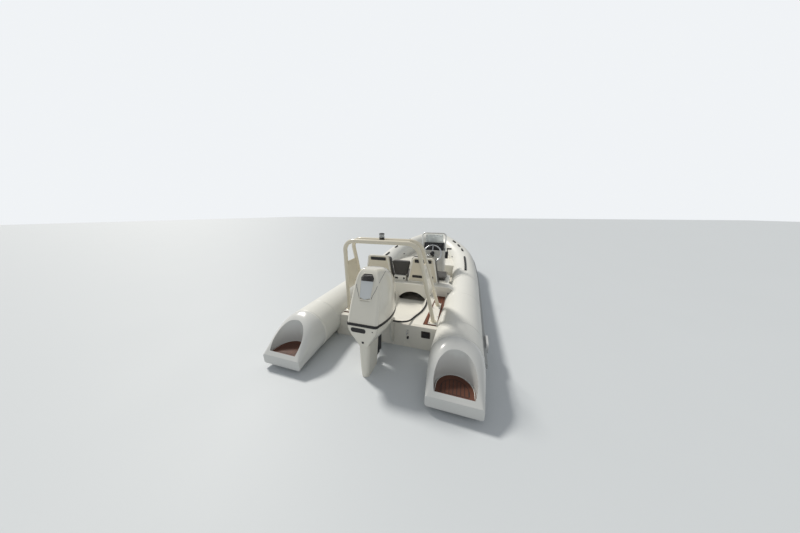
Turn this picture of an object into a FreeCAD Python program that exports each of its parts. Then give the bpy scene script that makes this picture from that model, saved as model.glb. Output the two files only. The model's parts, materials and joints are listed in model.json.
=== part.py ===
import FreeCAD, Part

import math
import os

# A rigid-hulled inflatable boat afloat, with an arch aft, a helm console and one outboard engine.
# Millimetres. X is to starboard, Y forward, Z up from the waterline. Stations are Y distances
# from the after tips of the tubes, and every piece is moved by ORIGIN_STATION when it is saved.
ORIGIN_STATION = 2600

# Inflated collar
TUBE_X = 934
TUBE_Z = 250
TUBE_R = 275
TUBE_SPLAY = 2.4
CAP_LENGTH = 430
SIDE_LENGTH = 2220
# Bends of the centre line ahead of the side: (radius, angle, tilt of the bend's plane from level)
BOW_BENDS = [(6140, 12.7, 58.7), (2030, 43.5, 8.8)]

# Moulded ends of the tubes
LIP_WIDTH = 500
LIP_LOW = 50
LIP_HIGH = 165
POCKET_WIDTH = 350
POCKET_AFT = 32
POCKET_LENGTH = 265
POCKET_FLOOR = 172
PAD_THICK = 8
PAD_MARGIN = 6

# Rub strake, the moulded holder at its after end and the handles on top of the tube
STRAKE_HEIGHT = 60
STRAKE_DEPTH = 26
STRAKE_BEVEL = 8
HOLDER_START = 690
HOLDER_LENGTH = 250
HOLDER_HALF = 58
HOLDER_RIM = 32
HOLDER_DEPTH = 24
# (bend, degrees from its start, degrees covered) of each handle on the tube's top
HANDLES = [(0, 2.5, 9.0), (1, 8, 4), (1, 17, 4), (1, 26, 4)]
HANDLE_HALF = 22
HANDLE_HIGH = 24
HANDLE_BEVEL = 8

# Hull
TRANSOM_AFT = 810
TRANSOM_THICK = 55
TRANSOM_TOP = 325
TRANSOM_PAD_WIDTH = 420
TRANSOM_PAD_TOP = 345
TRANSOM_PAD_SLOPE = 40
TRANSOM_CHINE = (745, 0)
TRANSOM_SIDE_X = 800
TRANSOM_EDGE_Z = 200
KEEL_AFT = -300
SOLE_TOP = 140
SOLE_PANEL = 10
SOLE_HALF = 800
SOLE_GAP = 5
CONSOLE_GAP = 4

# A reach past every piece, for cutters
PAST = 900

# Transom fittings
TRANSOM_HATCH_X = 502
TRANSOM_HATCH_WIDE = 98
TRANSOM_HATCH_LOW = 182
TRANSOM_HATCH_TALL = 80
TRANSOM_HATCH_PROUD = 8
KNOB_R = 13
KNOB_LENGTH = 26
DRAIN_X = 322
DRAIN_Z = 150
EYE_X = 315
EYE_Z = 230
EYE_HALF = 22
EYE_REACH = 52
EYE_ROD_R = 5

# Aft deck, splash well and bench
DECK_TOP = 320
BENCH_AFT = 1850
BENCH_TOP = 500
BENCH_LENGTH = 700
BENCH_HALF = 742
WING_LOW = 400
WING_REACH = 130
WING_LENGTH = 230
WING_ROOT = 30
WING_RISE = 55
WING_LAP = 6
BENCH_FLANK = 40
WELL_X = 120
WELL_HALF = 285
WELL_AFT = 1050
WELL_FLOOR = 190
WELL_SLOPE = 65
WELL_STRAIGHT = 5
MOUTH_HALF = 265
MOUTH_TOP = 352
WALL = 14

# Arch
HOOP_R = 25
HOOP_TOP_Z = 1400
HOOP_HALF = 445
AFT_HOOP_TOP_Y = 690
FORE_HOOP_TOP_Y = 865
HOOP_FOOT_X = 622
AFT_FOOT_Y = 965
FORE_FOOT_Y = 1470
HOOP_CORNER = 150
FOOT_PLATE = 10
FOOT_PLATE_IN = 62
FOOT_PLATE_OUT = 50
FOOT_PLATE_LAP_AFT = 65
FOOT_PLATE_LAP_FORE = 80
PANEL_THICK = 12
TOP_PANEL_HALF = 330
PANEL_LOW = 700
PANEL_HIGH = 1120
SIDE_TEAK = 8
SIDE_TEAK_IN = 500
SIDE_TEAK_IN_FORE = 560
SIDE_TEAK_AFT = 890
SIDE_TEAK_OUT_AFT = 664
SIDE_TEAK_OUT = 712
SIDE_TEAK_WIDEST = 1500
SIDE_TEAK_GAP = 6
LIGHT_R = 33
LIGHT_HIGH = 88

# Seats
SEAT_X = {"starboard": 285, "port": -560}
SEAT_HALF_LOW = 270
SEAT_HALF_TOP = 198
SEAT_BACK_TOP = 955
SEAT_CORNER = 55
SEAT_INSET = 110
SEAT_BACK_Y = BENCH_AFT + SEAT_INSET
SHELL_THICK = 34
SLOT_HIGH = 34
# (height above the bench, half width) of the slots in each shell
SLOTS = [(378, 118), (92, 105)]
PAD_SPREAD = 28
PAD_DROP = 26
CUSHION_THICK = 90
MIDDLE_PAD_X = -130
MIDDLE_PAD_TOP = 870
MIDDLE_BOX_TOP = 600
MIDDLE_BOX_HALF = 60
MIDDLE_PAD_HALF = 45

# Lids' hinges, and the seat lid with its cushion
HINGE_PIN_R = 4
HINGE_BARREL_R = 7
HINGE_POST = 10
HINGE_HALF = 30
HINGE_LEAF = 6
HINGE_REACH = 14
HINGE_INSET = 18
BENCH_HINGES = (-420, 420)
BOW_HINGES = (-200, 200)
BENCH_LID_HALF = 690
BENCH_LID_THICK = 20
BENCH_CUSHION = 72
BENCH_CUSHION_CORNER = 40
LID_BEHIND_PAD = 20
LID_LAP = 20
LID_GAP = 0.5

# Console
CONSOLE_X = 345
CONSOLE_HALF = 250
FOOTWELL = 280
CONSOLE_AFT = BENCH_AFT + BENCH_LENGTH + FOOTWELL
CONSOLE_LENGTH = 470
CONSOLE_HIGH = 940
CONSOLE_TAPER = 20
CONSOLE_CORNER = 45
DASH_TOP = 1095
DASH_HALF = 212
# Distances forward of the console's after face: the dash's foot, brow, back and fore foot
DASH_ALONG = (10, 90, 260, 330)
DASH_FALL = 20
SCREEN_HALF_LOW = 200
SCREEN_HALF_HIGH = 180
SCREEN_LOW_Y = 175
SCREEN_HIGH_Y = 110
SCREEN_SUNK = 40
SCREEN_TALL = 170
SCREEN_THICK = 6
RAIL_R = 14
RAIL_Y = 60
RAIL_TOP = 1300
RAIL_FOOT_IN = 12
RAIL_BEND = 70
WHEEL_R = 178
WHEEL_RIM_R = 14
WHEEL_RAKE = 28
WHEEL_BACK = 140
WHEEL_Z = 900
WHEEL_HUB_R = 34
WHEEL_HUB_LONG = 40
WHEEL_HUB_AHEAD = 25
SPOKE_R = 9
COLUMN_R = 26
COLUMN_LONG = 140
THROTTLE_SUNK = 8
THROTTLE_DEEP = 55
THROTTLE_LENGTH = 90
THROTTLE_LOW = 770
THROTTLE_HIGH = 905
# (forward of the throttle's after face, height) of the lever's two ends
LEVER_FOOT = (40, 890)
LEVER_TOP = (-20, 985)
LEVER_OUT = 40
LEVER_R = 9
GRIP_IN = 30
GRIP_OUT = 125
GRIP_R = 15

# Bow locker
WALKWAY = 320
LOCKER_AFT = CONSOLE_AFT + CONSOLE_LENGTH + WALKWAY
LOCKER_LENGTH = 800
LOCKER_FORE = LOCKER_AFT + LOCKER_LENGTH
LOCKER_BASE = 250
LOCKER_TOP = 430
LOCKER_HALF_AFT = 830
LOCKER_HALF_FORE = 760
HATCH_MARGIN = 90
HATCH_LENGTH = 400
HATCH_HALF = 320
LID_THICK = 30
BOW_CUSHION = 60
BOW_CUSHION_CORNER = 50
CLEAT_Y = 4600
CLEAT_Z = 465
CLEAT_RISE = 34
CLEAT_HALF = 75
CLEAT_HORN_R = 11
CLEAT_POST_R = 10
CLEAT_POST_X = 26
CLEAT_BASE_X = 50
CLEAT_BASE_Y = 26
CLEAT_BASE_HIGH = 8
CLEAT_SUNK = 60

# Outboard
TILT_Y = 740
TILT_Z = 395
TILT_REST = 6
SWIVEL_BACK = 165
TILT_TUBE_R = 18
ARM_IN_X = 100
ARM_THICK = 30
ARM_LOW = -330
ARM_HOOK = 45
ARM_HOOK_THICK = 30
# (forward, height) of the arm's free edge about the tilt axis, from its foot up
ARM_EDGE = [(20, ARM_LOW), (-35, -200), (-50, -40), (-50, 40), (20, 50)]
TILT_TUBE_PROUD = 12
PIN_R = 20
PIN_LOW = -350
PIN_FOOT_HALF = 30
PIN_FOOT_AFT = -320
SWIVEL_LOW = -310
SWIVEL_TOP = 20
SWIVEL_R = 48
SWIVEL_HUB_R = 36
SWIVEL_HUB_HALF = 90
YOKE_HALF = 70
YOKE_AFT = -150
YOKE_FORE = 10
YOKE_LOW = -60
PAN_LOW = 62
PAN_CLEAR_R = 62
SHAFT_R = 14
RUN_GAP = 0.3
SEAM_Z = 180
COWL_WALL = 8
# Cowl sections: (height, half width at the after face, greatest half width, aft, fore)
COWL_SECTIONS = [
    (SEAM_Z, 168, 205, -592, 150),
    (340, 163, 204, -541, 142),
    (490, 152, 196, -492, 100),
    (610, 136, 178, -454, 24),
    (684, 112, 148, -426, -90),
    (724, 76, 100, -396, -205),
]
VENT_HALF = 62
VENT_LOW = 420
VENT_HIGH = 655
VENT_DEEP = 14
VENT_SHOULDER = 40
VENT_FOOT_SHARE = 0.82
VENT_TOP_SHARE = 0.7
VENT_CUT = 20
ENGINE_HALF = 115
ENGINE_AFT = -420
ENGINE_FORE = -80
ENGINE_TOP = 500
PAN_VENT_LEFT = -95
PAN_VENT_RIGHT = 15
PAN_VENT_LOW = 105
PAN_VENT_HIGH = 140
PAN_VENT_IN = -560
PLATE_Z = -515
SHAFT_Z = -715
PROP_R = 168
PLATE_THICK = 13
PLATE_HALF = 112
PLATE_AFT = -715
PLATE_FORE = -150
BULLET_R = 48
BULLET_AFT = -640
BULLET_LENGTH = 330
NOSE_LENGTH = 110
SKEG_THICK = 14
SKEG_DROP = 190
SHAFT_AFT = -780
SHAFT_LONG = 140
PROP_HUB_AFT = -765
PROP_HUB_LENGTH = 120
PROP_HUB_R = 40
BLADE_Y = -705
BLADES = 3

# Steering hose from the end of the tilt tube over the transom and along the deck to the bench
HOSE_R = 11
HOSE_LIE = DECK_TOP + HOSE_R
HOSE_ROUTE = [
    (ARM_IN_X + ARM_THICK + TILT_TUBE_PROUD, TILT_Y, TILT_Z),
    (198, TILT_Y, TILT_Z),
    (253, 757, 390),
    (294, 796, 379),
    (316, 852, 359),
    (327, 914, 340),
    (340, 976, HOSE_LIE),
    (360, 1046, HOSE_LIE),
    (392, 1132, HOSE_LIE),
    (422, 1230, HOSE_LIE),
    (440, 1345, HOSE_LIE),
    (445, 1480, HOSE_LIE),
    (430, 1650, HOSE_LIE),
    (430, BENCH_AFT, HOSE_LIE),
]

# The share of the shorter run that a loose bend takes from each side of its corner
LOOSE_REACH = 0.45

# Two face centres nearer than this are one face seen from both sides
JOINT_NEAR = 0.01

V = FreeCAD.Vector
EAST = V(1, 0, 0)
NORTH = V(0, 1, 0)
UP = V(0, 0, 1)

os.makedirs("parts", exist_ok=True)


def save(name, shape):
    placed = shape.copy()
    placed.translate(V(0, -ORIGIN_STATION, 0))
    placed.exportStep("parts/" + name + ".step")


def both_sides(name, shape):
    save(name + "_starboard", shape)
    save(name + "_port", shape.mirror(V(0, 0, 0), EAST))


def save_pair(name, shape):
    """A starboard piece and its port mirror image in one node."""
    save(name, Part.makeCompound([shape, shape.mirror(V(0, 0, 0), EAST)]))


def box(x0, x1, y0, y1, z0, z1):
    return Part.makeBox(x1 - x0, y1 - y0, z1 - z0, V(x0, y0, z0))


def polygon(points):
    return Part.makePolygon(points + [points[0]])


def prism(points, run):
    return Part.Face(polygon(points)).extrude(run)


def rounded(half_x, y_aft, y_fore, z, corner):
    """A closed rounded rectangle in a level plane, of eight lines and arcs."""
    x, r = half_x, corner
    d = r * (1 - math.sqrt(0.5))
    corners = [
        (V(x, y_aft + r, z), V(x, y_fore - r, z), V(x - d, y_fore - d, z)),
        (V(x - r, y_fore, z), V(-x + r, y_fore, z), V(-x + d, y_fore - d, z)),
        (V(-x, y_fore - r, z), V(-x, y_aft + r, z), V(-x + d, y_aft + d, z)),
        (V(-x + r, y_aft, z), V(x - r, y_aft, z), V(x - d, y_aft + d, z)),
    ]
    edges = []
    for k, (start, end, middle) in enumerate(corners):
        following = corners[(k + 1) % 4][0]
        edges.append(Part.LineSegment(start, end).toShape())
        edges.append(Part.Arc(end, middle, following).toShape())
    return Part.Wire(edges)


def rounded_upright(x, half_x, z_low, z_high, y, corner):
    """The same outline standing across the boat, centred on x."""
    middle_z = (z_low + z_high) / 2
    half_z = (z_high - z_low) / 2
    wire = rounded(half_x, -half_z, half_z, 0, corner)
    wire.rotate(V(0, 0, 0), EAST, 90)
    wire.translate(V(x, y, middle_z))
    return wire


def seat_outline(x, half_low, half_top, low, high, y, corner):
    """A standing trapezoid with its two upper corners rounded."""
    foot_left, foot_right = V(x - half_low, y, low), V(x + half_low, y, low)
    path = bent_path([foot_left, V(x - half_top, y, high), V(x + half_top, y, high), foot_right], corner)
    return Part.Wire(path.Edges + [Part.LineSegment(foot_right, foot_left).toShape()])


def bent_path(points, radius=None):
    """Straight runs joined by tangent arcs, which take most of the shorter run if no radius is given."""
    edges = []
    here = points[0]
    for before, corner, after in zip(points, points[1:], points[2:]):
        back, ahead = before - corner, after - corner
        shorter = min(back.Length, ahead.Length)
        back.normalize()
        ahead.normalize()
        half = math.acos(max(-1, min(1, back.dot(ahead)))) / 2
        reach = radius / math.tan(half) if radius else LOOSE_REACH * shorter
        bend = reach * math.tan(half)
        bisector = (back + ahead).normalize()
        middle = corner + bisector * (bend / math.sin(half) - bend)
        edges.append(Part.LineSegment(here, corner + back * reach).toShape())
        edges.append(Part.Arc(corner + back * reach, middle, corner + ahead * reach).toShape())
        here = corner + ahead * reach
    edges.append(Part.LineSegment(here, points[-1]).toShape())
    return Part.Wire(edges)


def pipe(points, bend, r):
    path = bent_path(points, bend)
    start = points[0]
    ring = Part.Wire(Part.Circle(start, points[1] - start, r).toShape())
    return path.makePipeShell([ring], True, False)


def rod(start, end, r):
    run = end - start
    return Part.makeCylinder(r, run.Length, start, run)


# The starboard centre line: a splayed straight side, then bends that carry it in and up to the stem
splay = FreeCAD.Rotation(UP, -TUBE_SPLAY)
side_start = V(TUBE_X, CAP_LENGTH, TUBE_Z)
side_run = splay.multVec(NORTH)


def bend_from(point, run, toward, radius, degrees):
    """The centre and axis of an arc, then the point and the run where it ends."""
    axis = run.cross(toward).normalize()
    centre = point + toward * radius
    turn = FreeCAD.Rotation(axis, degrees)
    return centre, axis, centre - turn.multVec(toward) * radius, turn.multVec(run)


bends = []
point, run = side_start + side_run * SIDE_LENGTH, side_run
for radius, degrees, tilt in BOW_BENDS:
    out = run.cross(UP).normalize()
    toward = out.cross(run) * math.sin(math.radians(tilt)) - out * math.cos(math.radians(tilt))
    centre, axis, point, run = bend_from(point, run, toward, radius, degrees)
    bends.append((centre, axis, degrees))
nose_turn = math.acos(-run.x)
nose_radius = point.x / (math.tan(nose_turn / 2) * (1 - run.x))
nose_axis = run.cross(V(-1, 0, 0)).normalize()
centre, axis, point, run = bend_from(
    point, run, nose_axis.cross(run), nose_radius, math.degrees(nose_turn)
)
bends.append((centre, axis, math.degrees(nose_turn)))


def along_tube(outline):
    """Carries an outline, drawn across the tube's after end, forward along the tube.

    It returns the straight piece and then one piece for each bend.
    """
    face = Part.Face(outline)
    face.rotate(side_start, UP, -TUBE_SPLAY)
    pieces = [face.extrude(side_run * SIDE_LENGTH)]
    face.translate(side_run * SIDE_LENGTH)
    for centre, axis, degrees in bends:
        pieces.append(face.revolve(centre, axis, degrees))
        face.rotate(centre, axis, degrees)
    return pieces


def end_to_end(pieces):
    """One solid of pieces that meet end to end: their faces, without the pairs where they meet."""
    faces = [face for piece in pieces for face in piece.Faces]
    centres = [face.CenterOfMass for face in faces]
    outer = [
        face
        for face, centre in zip(faces, centres)
        if sum(centre.distanceToPoint(other) < JOINT_NEAR for other in centres) == 1
    ]
    shell = Part.makeShell(outer)
    shell.sewShape()
    return Part.makeSolid(shell)


def joined(shapes):
    whole = shapes[0]
    for shape in shapes[1:]:
        whole = whole.fuse(shape)
    return whole.removeSplitter()


# Collar
tube_ring = Part.Wire(Part.Circle(side_start, NORTH, TUBE_R).toShape())
tube_pieces = along_tube(tube_ring)
tube_side = tube_pieces[0]
tube_bow = joined(tube_pieces[1:])
collar = joined(tube_pieces)
collar_both = [collar, collar.mirror(V(0, 0, 0), EAST)]
both_sides("tube_side", tube_side)
both_sides("tube_bow", tube_bow)

# Moulded ends: (station, width, bottom, top, corner radius)
END_SECTIONS = [
    (0, LIP_WIDTH, LIP_LOW, LIP_HIGH, 24),
    (150, 522, LIP_LOW - 25, 340, 120),
    (300, 542, LIP_LOW - 55, 476, 210),
    (CAP_LENGTH, 2 * TUBE_R, TUBE_Z - TUBE_R, TUBE_Z + TUBE_R, TUBE_R - 1),
]
end_wires = [
    rounded_upright(TUBE_X, width / 2, low, high, station, corner)
    for station, width, low, high, corner in END_SECTIONS
]
end_wires[-1].rotate(side_start, UP, -TUBE_SPLAY)
end_cap = Part.makeLoft(end_wires, True, False)


def half_round(width, y_aft, length, z, thick):
    """A flat-backed half round in plan: straight aft edge, curved forward edge."""
    aft_left = V(TUBE_X - width / 2, y_aft, z)
    aft_right = V(TUBE_X + width / 2, y_aft, z)
    fore = V(TUBE_X, y_aft + length, z)
    edges = [
        Part.LineSegment(aft_left, aft_right).toShape(),
        Part.Arc(aft_right, fore, aft_left).toShape(),
    ]
    return Part.Face(Part.Wire(edges)).extrude(UP * thick)


pocket = half_round(POCKET_WIDTH, POCKET_AFT, POCKET_LENGTH, POCKET_FLOOR, 2 * TUBE_R)
end_cap = end_cap.cut(pocket)
both_sides("tube_end", end_cap)
end_pad = half_round(
    POCKET_WIDTH - 2 * PAD_MARGIN,
    POCKET_AFT + PAD_MARGIN,
    POCKET_LENGTH - 2 * PAD_MARGIN,
    POCKET_FLOOR,
    PAD_THICK,
)
save_pair("end_pads", end_pad)

# Rub strake: a flat-faced moulding that lies on the outside of the collar
strake_profile = [
    (TUBE_R, -STRAKE_HEIGHT / 2),
    (TUBE_R + STRAKE_DEPTH, STRAKE_BEVEL - STRAKE_HEIGHT / 2),
    (TUBE_R + STRAKE_DEPTH, STRAKE_HEIGHT / 2 - STRAKE_BEVEL),
    (TUBE_R, STRAKE_HEIGHT / 2),
]
strake_outline = polygon([side_start + V(x, 0, z) for x, z in strake_profile])
strake_pieces = along_tube(strake_outline)
both_sides("rub_strake", end_to_end(strake_pieces))


def on_side(shape):
    """Turns a piece drawn beside a tube that runs straight forward to the splayed tube."""
    shape.rotate(side_start, UP, -TUBE_SPLAY)
    return shape


def beside_strake(half_length, half_high):
    """A rounded outline that stands on the strake's outer face, centred on the holder."""
    outline = rounded(half_length, -half_high, half_high, 0, half_high - 2)
    outline.rotate(V(0, 0, 0), UP, 90)
    outline.rotate(V(0, 0, 0), NORTH, 90)
    outline.translate(
        V(TUBE_X + TUBE_R + STRAKE_DEPTH, HOLDER_START + HOLDER_LENGTH / 2, TUBE_Z)
    )
    return Part.Face(outline)


holder = beside_strake(HOLDER_LENGTH / 2, HOLDER_HALF).extrude(EAST * HOLDER_DEPTH)
grip_hole = beside_strake(HOLDER_LENGTH / 2 - HOLDER_RIM, HOLDER_HALF - HOLDER_RIM)
save_pair("strake_holders", on_side(holder.cut(grip_hole.extrude(EAST * HOLDER_DEPTH))))

# A bar on top of the tube, carried along with the tube to the bend that it lies on
handles = []
for bend, start_degrees, covered in HANDLES:
    top = TUBE_Z + TUBE_R
    bar = Part.Face(
        polygon(
            [
                V(TUBE_X - HANDLE_HALF, CAP_LENGTH, top),
                V(TUBE_X + HANDLE_HALF, CAP_LENGTH, top),
                V(TUBE_X + HANDLE_HALF - HANDLE_BEVEL, CAP_LENGTH, top + HANDLE_HIGH),
                V(TUBE_X - HANDLE_HALF + HANDLE_BEVEL, CAP_LENGTH, top + HANDLE_HIGH),
            ]
        )
    )
    bar = on_side(bar)
    bar.translate(side_run * SIDE_LENGTH)
    for centre, axis, degrees in bends[:bend]:
        bar.rotate(centre, axis, degrees)
    centre, axis, degrees = bends[bend]
    bar.rotate(centre, axis, start_degrees)
    bar = bar.revolve(centre, axis, covered)
    handles += [bar, bar.mirror(V(0, 0, 0), EAST)]
save("tube_handles", Part.makeCompound(handles))

# Hull sections: (station, keel z, chine x, chine z, side x, side z)
HULL_SECTIONS = [
    (TRANSOM_AFT + TRANSOM_THICK, KEEL_AFT, 760, -25, 820, 200),
    (2400, -320, 815, -15, 880, 200),
    (3400, -290, 800, 45, 900, 240),
    (4150, -165, 680, 190, 830, 355),
    (4650, 70, 450, 360, 640, 470),
    (5060, 420, 150, 560, 330, 620),
]


def hull_wire(station, keel_z, chine_x, chine_z, side_x, side_z):
    half = [(chine_x, chine_z), (side_x, side_z)]
    points = [V(0, station, keel_z)]
    points += [V(x, station, z) for x, z in half]
    points += [V(-x, station, z) for x, z in reversed(half)]
    return polygon(points)


hull = Part.makeLoft([hull_wire(*row) for row in HULL_SECTIONS], True, False)
hull = hull.cut(box(-PAST, PAST, 0, LOCKER_AFT, SOLE_TOP, PAST))
hull = hull.cut(box(-PAST, PAST, LOCKER_AFT, LOCKER_FORE, LOCKER_BASE, PAST))
for tube in collar_both:
    hull = hull.cut(tube)
save("hull_shell", hull)

# Transom, with a raised pad for the engine
transom_half = TUBE_X - TUBE_R / 2
transom_points = [
    V(0, TRANSOM_AFT, KEEL_AFT),
    V(TRANSOM_CHINE[0], TRANSOM_AFT, TRANSOM_CHINE[1]),
    V(TRANSOM_SIDE_X, TRANSOM_AFT, SOLE_TOP),
    V(transom_half, TRANSOM_AFT, TRANSOM_EDGE_Z),
    V(transom_half, TRANSOM_AFT, TRANSOM_TOP),
    V(TRANSOM_PAD_WIDTH / 2 + TRANSOM_PAD_SLOPE, TRANSOM_AFT, TRANSOM_TOP),
    V(TRANSOM_PAD_WIDTH / 2, TRANSOM_AFT, TRANSOM_PAD_TOP),
]
transom_points += [V(-p.x, p.y, p.z) for p in reversed(transom_points[1:])]
transom = prism(transom_points, NORTH * TRANSOM_THICK)
for tube in collar_both:
    transom = transom.cut(tube)
save("transom", transom)

# Transom hatch, drain knob and towing eyes
hatch = box(
    TRANSOM_HATCH_X,
    TRANSOM_HATCH_X + TRANSOM_HATCH_WIDE,
    TRANSOM_AFT - TRANSOM_HATCH_PROUD,
    TRANSOM_AFT,
    TRANSOM_HATCH_LOW,
    TRANSOM_HATCH_LOW + TRANSOM_HATCH_TALL,
)
knob = rod(V(DRAIN_X, TRANSOM_AFT, DRAIN_Z), V(DRAIN_X, TRANSOM_AFT - KNOB_LENGTH, DRAIN_Z), KNOB_R)
save("transom_hatch", Part.makeCompound([hatch, knob]))
eye_points = [
    V(EYE_X, TRANSOM_AFT, EYE_Z + EYE_HALF),
    V(EYE_X, TRANSOM_AFT - EYE_REACH, EYE_Z + EYE_HALF),
    V(EYE_X, TRANSOM_AFT - EYE_REACH, EYE_Z - EYE_HALF),
    V(EYE_X, TRANSOM_AFT, EYE_Z - EYE_HALF),
]
save_pair("tow_eyes", pipe(eye_points, EYE_HALF - 1, EYE_ROD_R))

# Aft deck: a moulded tray from the transom to the bench, with the splash well let into it
deck_start = TRANSOM_AFT + TRANSOM_THICK
aft_deck = box(-BENCH_HALF, BENCH_HALF, deck_start, BENCH_AFT, SOLE_TOP, DECK_TOP)
well_fore = BENCH_AFT + WELL_HALF
well_low = WELL_HALF - WELL_SLOPE
well_wires = [
    rounded(well_low, WELL_AFT + WELL_SLOPE, well_fore, WELL_FLOOR, well_low - WELL_STRAIGHT),
    rounded(WELL_HALF, WELL_AFT, well_fore, DECK_TOP + 1, WELL_HALF - WELL_STRAIGHT),
]
well = Part.makeLoft(well_wires, True, True)
well.translate(EAST * WELL_X)
aft_deck = aft_deck.cut(well)
for tube in collar_both:
    aft_deck = aft_deck.cut(tube)
save("aft_deck", aft_deck)

# Bench: hollow box with an arched mouth aft and wings over the tubes
bench_fore = BENCH_AFT + BENCH_LENGTH
bench = box(-BENCH_HALF, BENCH_HALF, BENCH_AFT, bench_fore, SOLE_TOP, BENCH_TOP)
bench_void = box(
    -BENCH_HALF + BENCH_FLANK + WALL,
    BENCH_HALF - BENCH_FLANK - WALL,
    BENCH_AFT + WALL,
    bench_fore - WALL,
    SOLE_TOP - 1,
    BENCH_TOP - WALL,
)
mouth_y = BENCH_AFT - 1
mouth_left = V(WELL_X - MOUTH_HALF, mouth_y, WELL_FLOOR)
mouth_right = V(WELL_X + MOUTH_HALF, mouth_y, WELL_FLOOR)
mouth_wire = Part.Wire(
    [
        Part.LineSegment(mouth_left, mouth_right).toShape(),
        Part.Arc(mouth_right, V(WELL_X, mouth_y, MOUTH_TOP), mouth_left).toShape(),
    ]
)
mouth = Part.Face(mouth_wire).extrude(NORTH * (WALL + 2))
wing_tip = [
    V(BENCH_HALF - WING_ROOT, BENCH_AFT, WING_LOW),
    V(BENCH_HALF + WING_REACH, BENCH_AFT, WING_LOW),
    V(BENCH_HALF + WING_REACH - WING_ROOT, BENCH_AFT, WING_LOW + WING_RISE),
    V(BENCH_HALF - WING_LAP, BENCH_AFT, BENCH_TOP),
]
wing = prism(wing_tip, NORTH * WING_LENGTH)
bench = bench.cut(bench_void).cut(mouth)
bench = joined([bench, wing, wing.mirror(V(0, 0, 0), EAST)])
for tube in collar_both:
    bench = bench.cut(tube)
save("bench", bench)

# Sole panel
sole_top = SOLE_TOP + SOLE_PANEL
sole = box(-SOLE_HALF, SOLE_HALF, bench_fore + SOLE_GAP, LOCKER_AFT - SOLE_GAP, SOLE_TOP, sole_top)
console_cut = box(
    CONSOLE_X - CONSOLE_HALF - CONSOLE_GAP,
    CONSOLE_X + CONSOLE_HALF + CONSOLE_GAP,
    CONSOLE_AFT - CONSOLE_GAP,
    CONSOLE_AFT + CONSOLE_LENGTH + CONSOLE_GAP,
    SOLE_TOP - 1,
    sole_top + 1,
)
sole = sole.cut(console_cut)
for tube in collar_both:
    sole = sole.cut(tube)
save("sole_panel", sole)

# Teak strips and foot plates under the arch
side_pad = prism(
    [
        V(SIDE_TEAK_IN, SIDE_TEAK_AFT, DECK_TOP),
        V(SIDE_TEAK_OUT_AFT, SIDE_TEAK_AFT, DECK_TOP),
        V(SIDE_TEAK_OUT, SIDE_TEAK_WIDEST, DECK_TOP),
        V(SIDE_TEAK_OUT, BENCH_AFT - SIDE_TEAK_GAP, DECK_TOP),
        V(SIDE_TEAK_IN_FORE, BENCH_AFT - SIDE_TEAK_GAP, DECK_TOP),
    ],
    UP * SIDE_TEAK,
)
for tube in collar_both:
    side_pad = side_pad.cut(tube)
save_pair("side_pads", side_pad)

plate_z = DECK_TOP + SIDE_TEAK
foot_z = plate_z + FOOT_PLATE
foot_plate = box(
    HOOP_FOOT_X - FOOT_PLATE_IN,
    HOOP_FOOT_X + FOOT_PLATE_OUT,
    AFT_FOOT_Y - FOOT_PLATE_LAP_AFT,
    FORE_FOOT_Y + FOOT_PLATE_LAP_FORE,
    plate_z,
    foot_z,
)
for tube in collar_both:
    foot_plate = foot_plate.cut(tube)
save_pair("foot_plates", foot_plate)
deck_cutter = box(-PAST, PAST, 0, BENCH_AFT, 0, foot_z)


def hoop(top_y, foot_y):
    points = [
        V(-HOOP_FOOT_X, foot_y, foot_z),
        V(-HOOP_HALF, top_y, HOOP_TOP_Z),
        V(HOOP_HALF, top_y, HOOP_TOP_Z),
        V(HOOP_FOOT_X, foot_y, foot_z),
    ]
    return pipe(points, HOOP_CORNER, HOOP_R).cut(deck_cutter)


aft_hoop = hoop(AFT_HOOP_TOP_Y, AFT_FOOT_Y)
fore_hoop = hoop(FORE_HOOP_TOP_Y, FORE_FOOT_Y)
save("arch_hoop_aft", aft_hoop)
save("arch_hoop_fore", fore_hoop)

top_panel = box(
    -TOP_PANEL_HALF,
    TOP_PANEL_HALF,
    AFT_HOOP_TOP_Y,
    FORE_HOOP_TOP_Y,
    HOOP_TOP_Z - PANEL_THICK / 2,
    HOOP_TOP_Z + PANEL_THICK / 2,
)
save("arch_top_panel", top_panel.cut(aft_hoop).cut(fore_hoop))


def on_leg(top_y, foot_y, z):
    """Where a hoop's leg crosses a height."""
    share = (z - foot_z) / (HOOP_TOP_Z - foot_z)
    return V(HOOP_FOOT_X + (HOOP_HALF - HOOP_FOOT_X) * share, foot_y + (top_y - foot_y) * share, z)


side_corners = [
    on_leg(AFT_HOOP_TOP_Y, AFT_FOOT_Y, PANEL_LOW),
    on_leg(AFT_HOOP_TOP_Y, AFT_FOOT_Y, PANEL_HIGH),
    on_leg(FORE_HOOP_TOP_Y, FORE_FOOT_Y, PANEL_HIGH),
    on_leg(FORE_HOOP_TOP_Y, FORE_FOOT_Y, PANEL_LOW),
]
side_panel = prism([p - EAST * (PANEL_THICK / 2) for p in side_corners], EAST * PANEL_THICK)
save_pair("arch_side_panels", side_panel.cut(aft_hoop).cut(fore_hoop))

light_base = V(0, (AFT_HOOP_TOP_Y + FORE_HOOP_TOP_Y) / 2, HOOP_TOP_Z + PANEL_THICK / 2)
save("nav_light", Part.makeCylinder(LIGHT_R, LIGHT_HIGH, light_base, UP))

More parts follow.
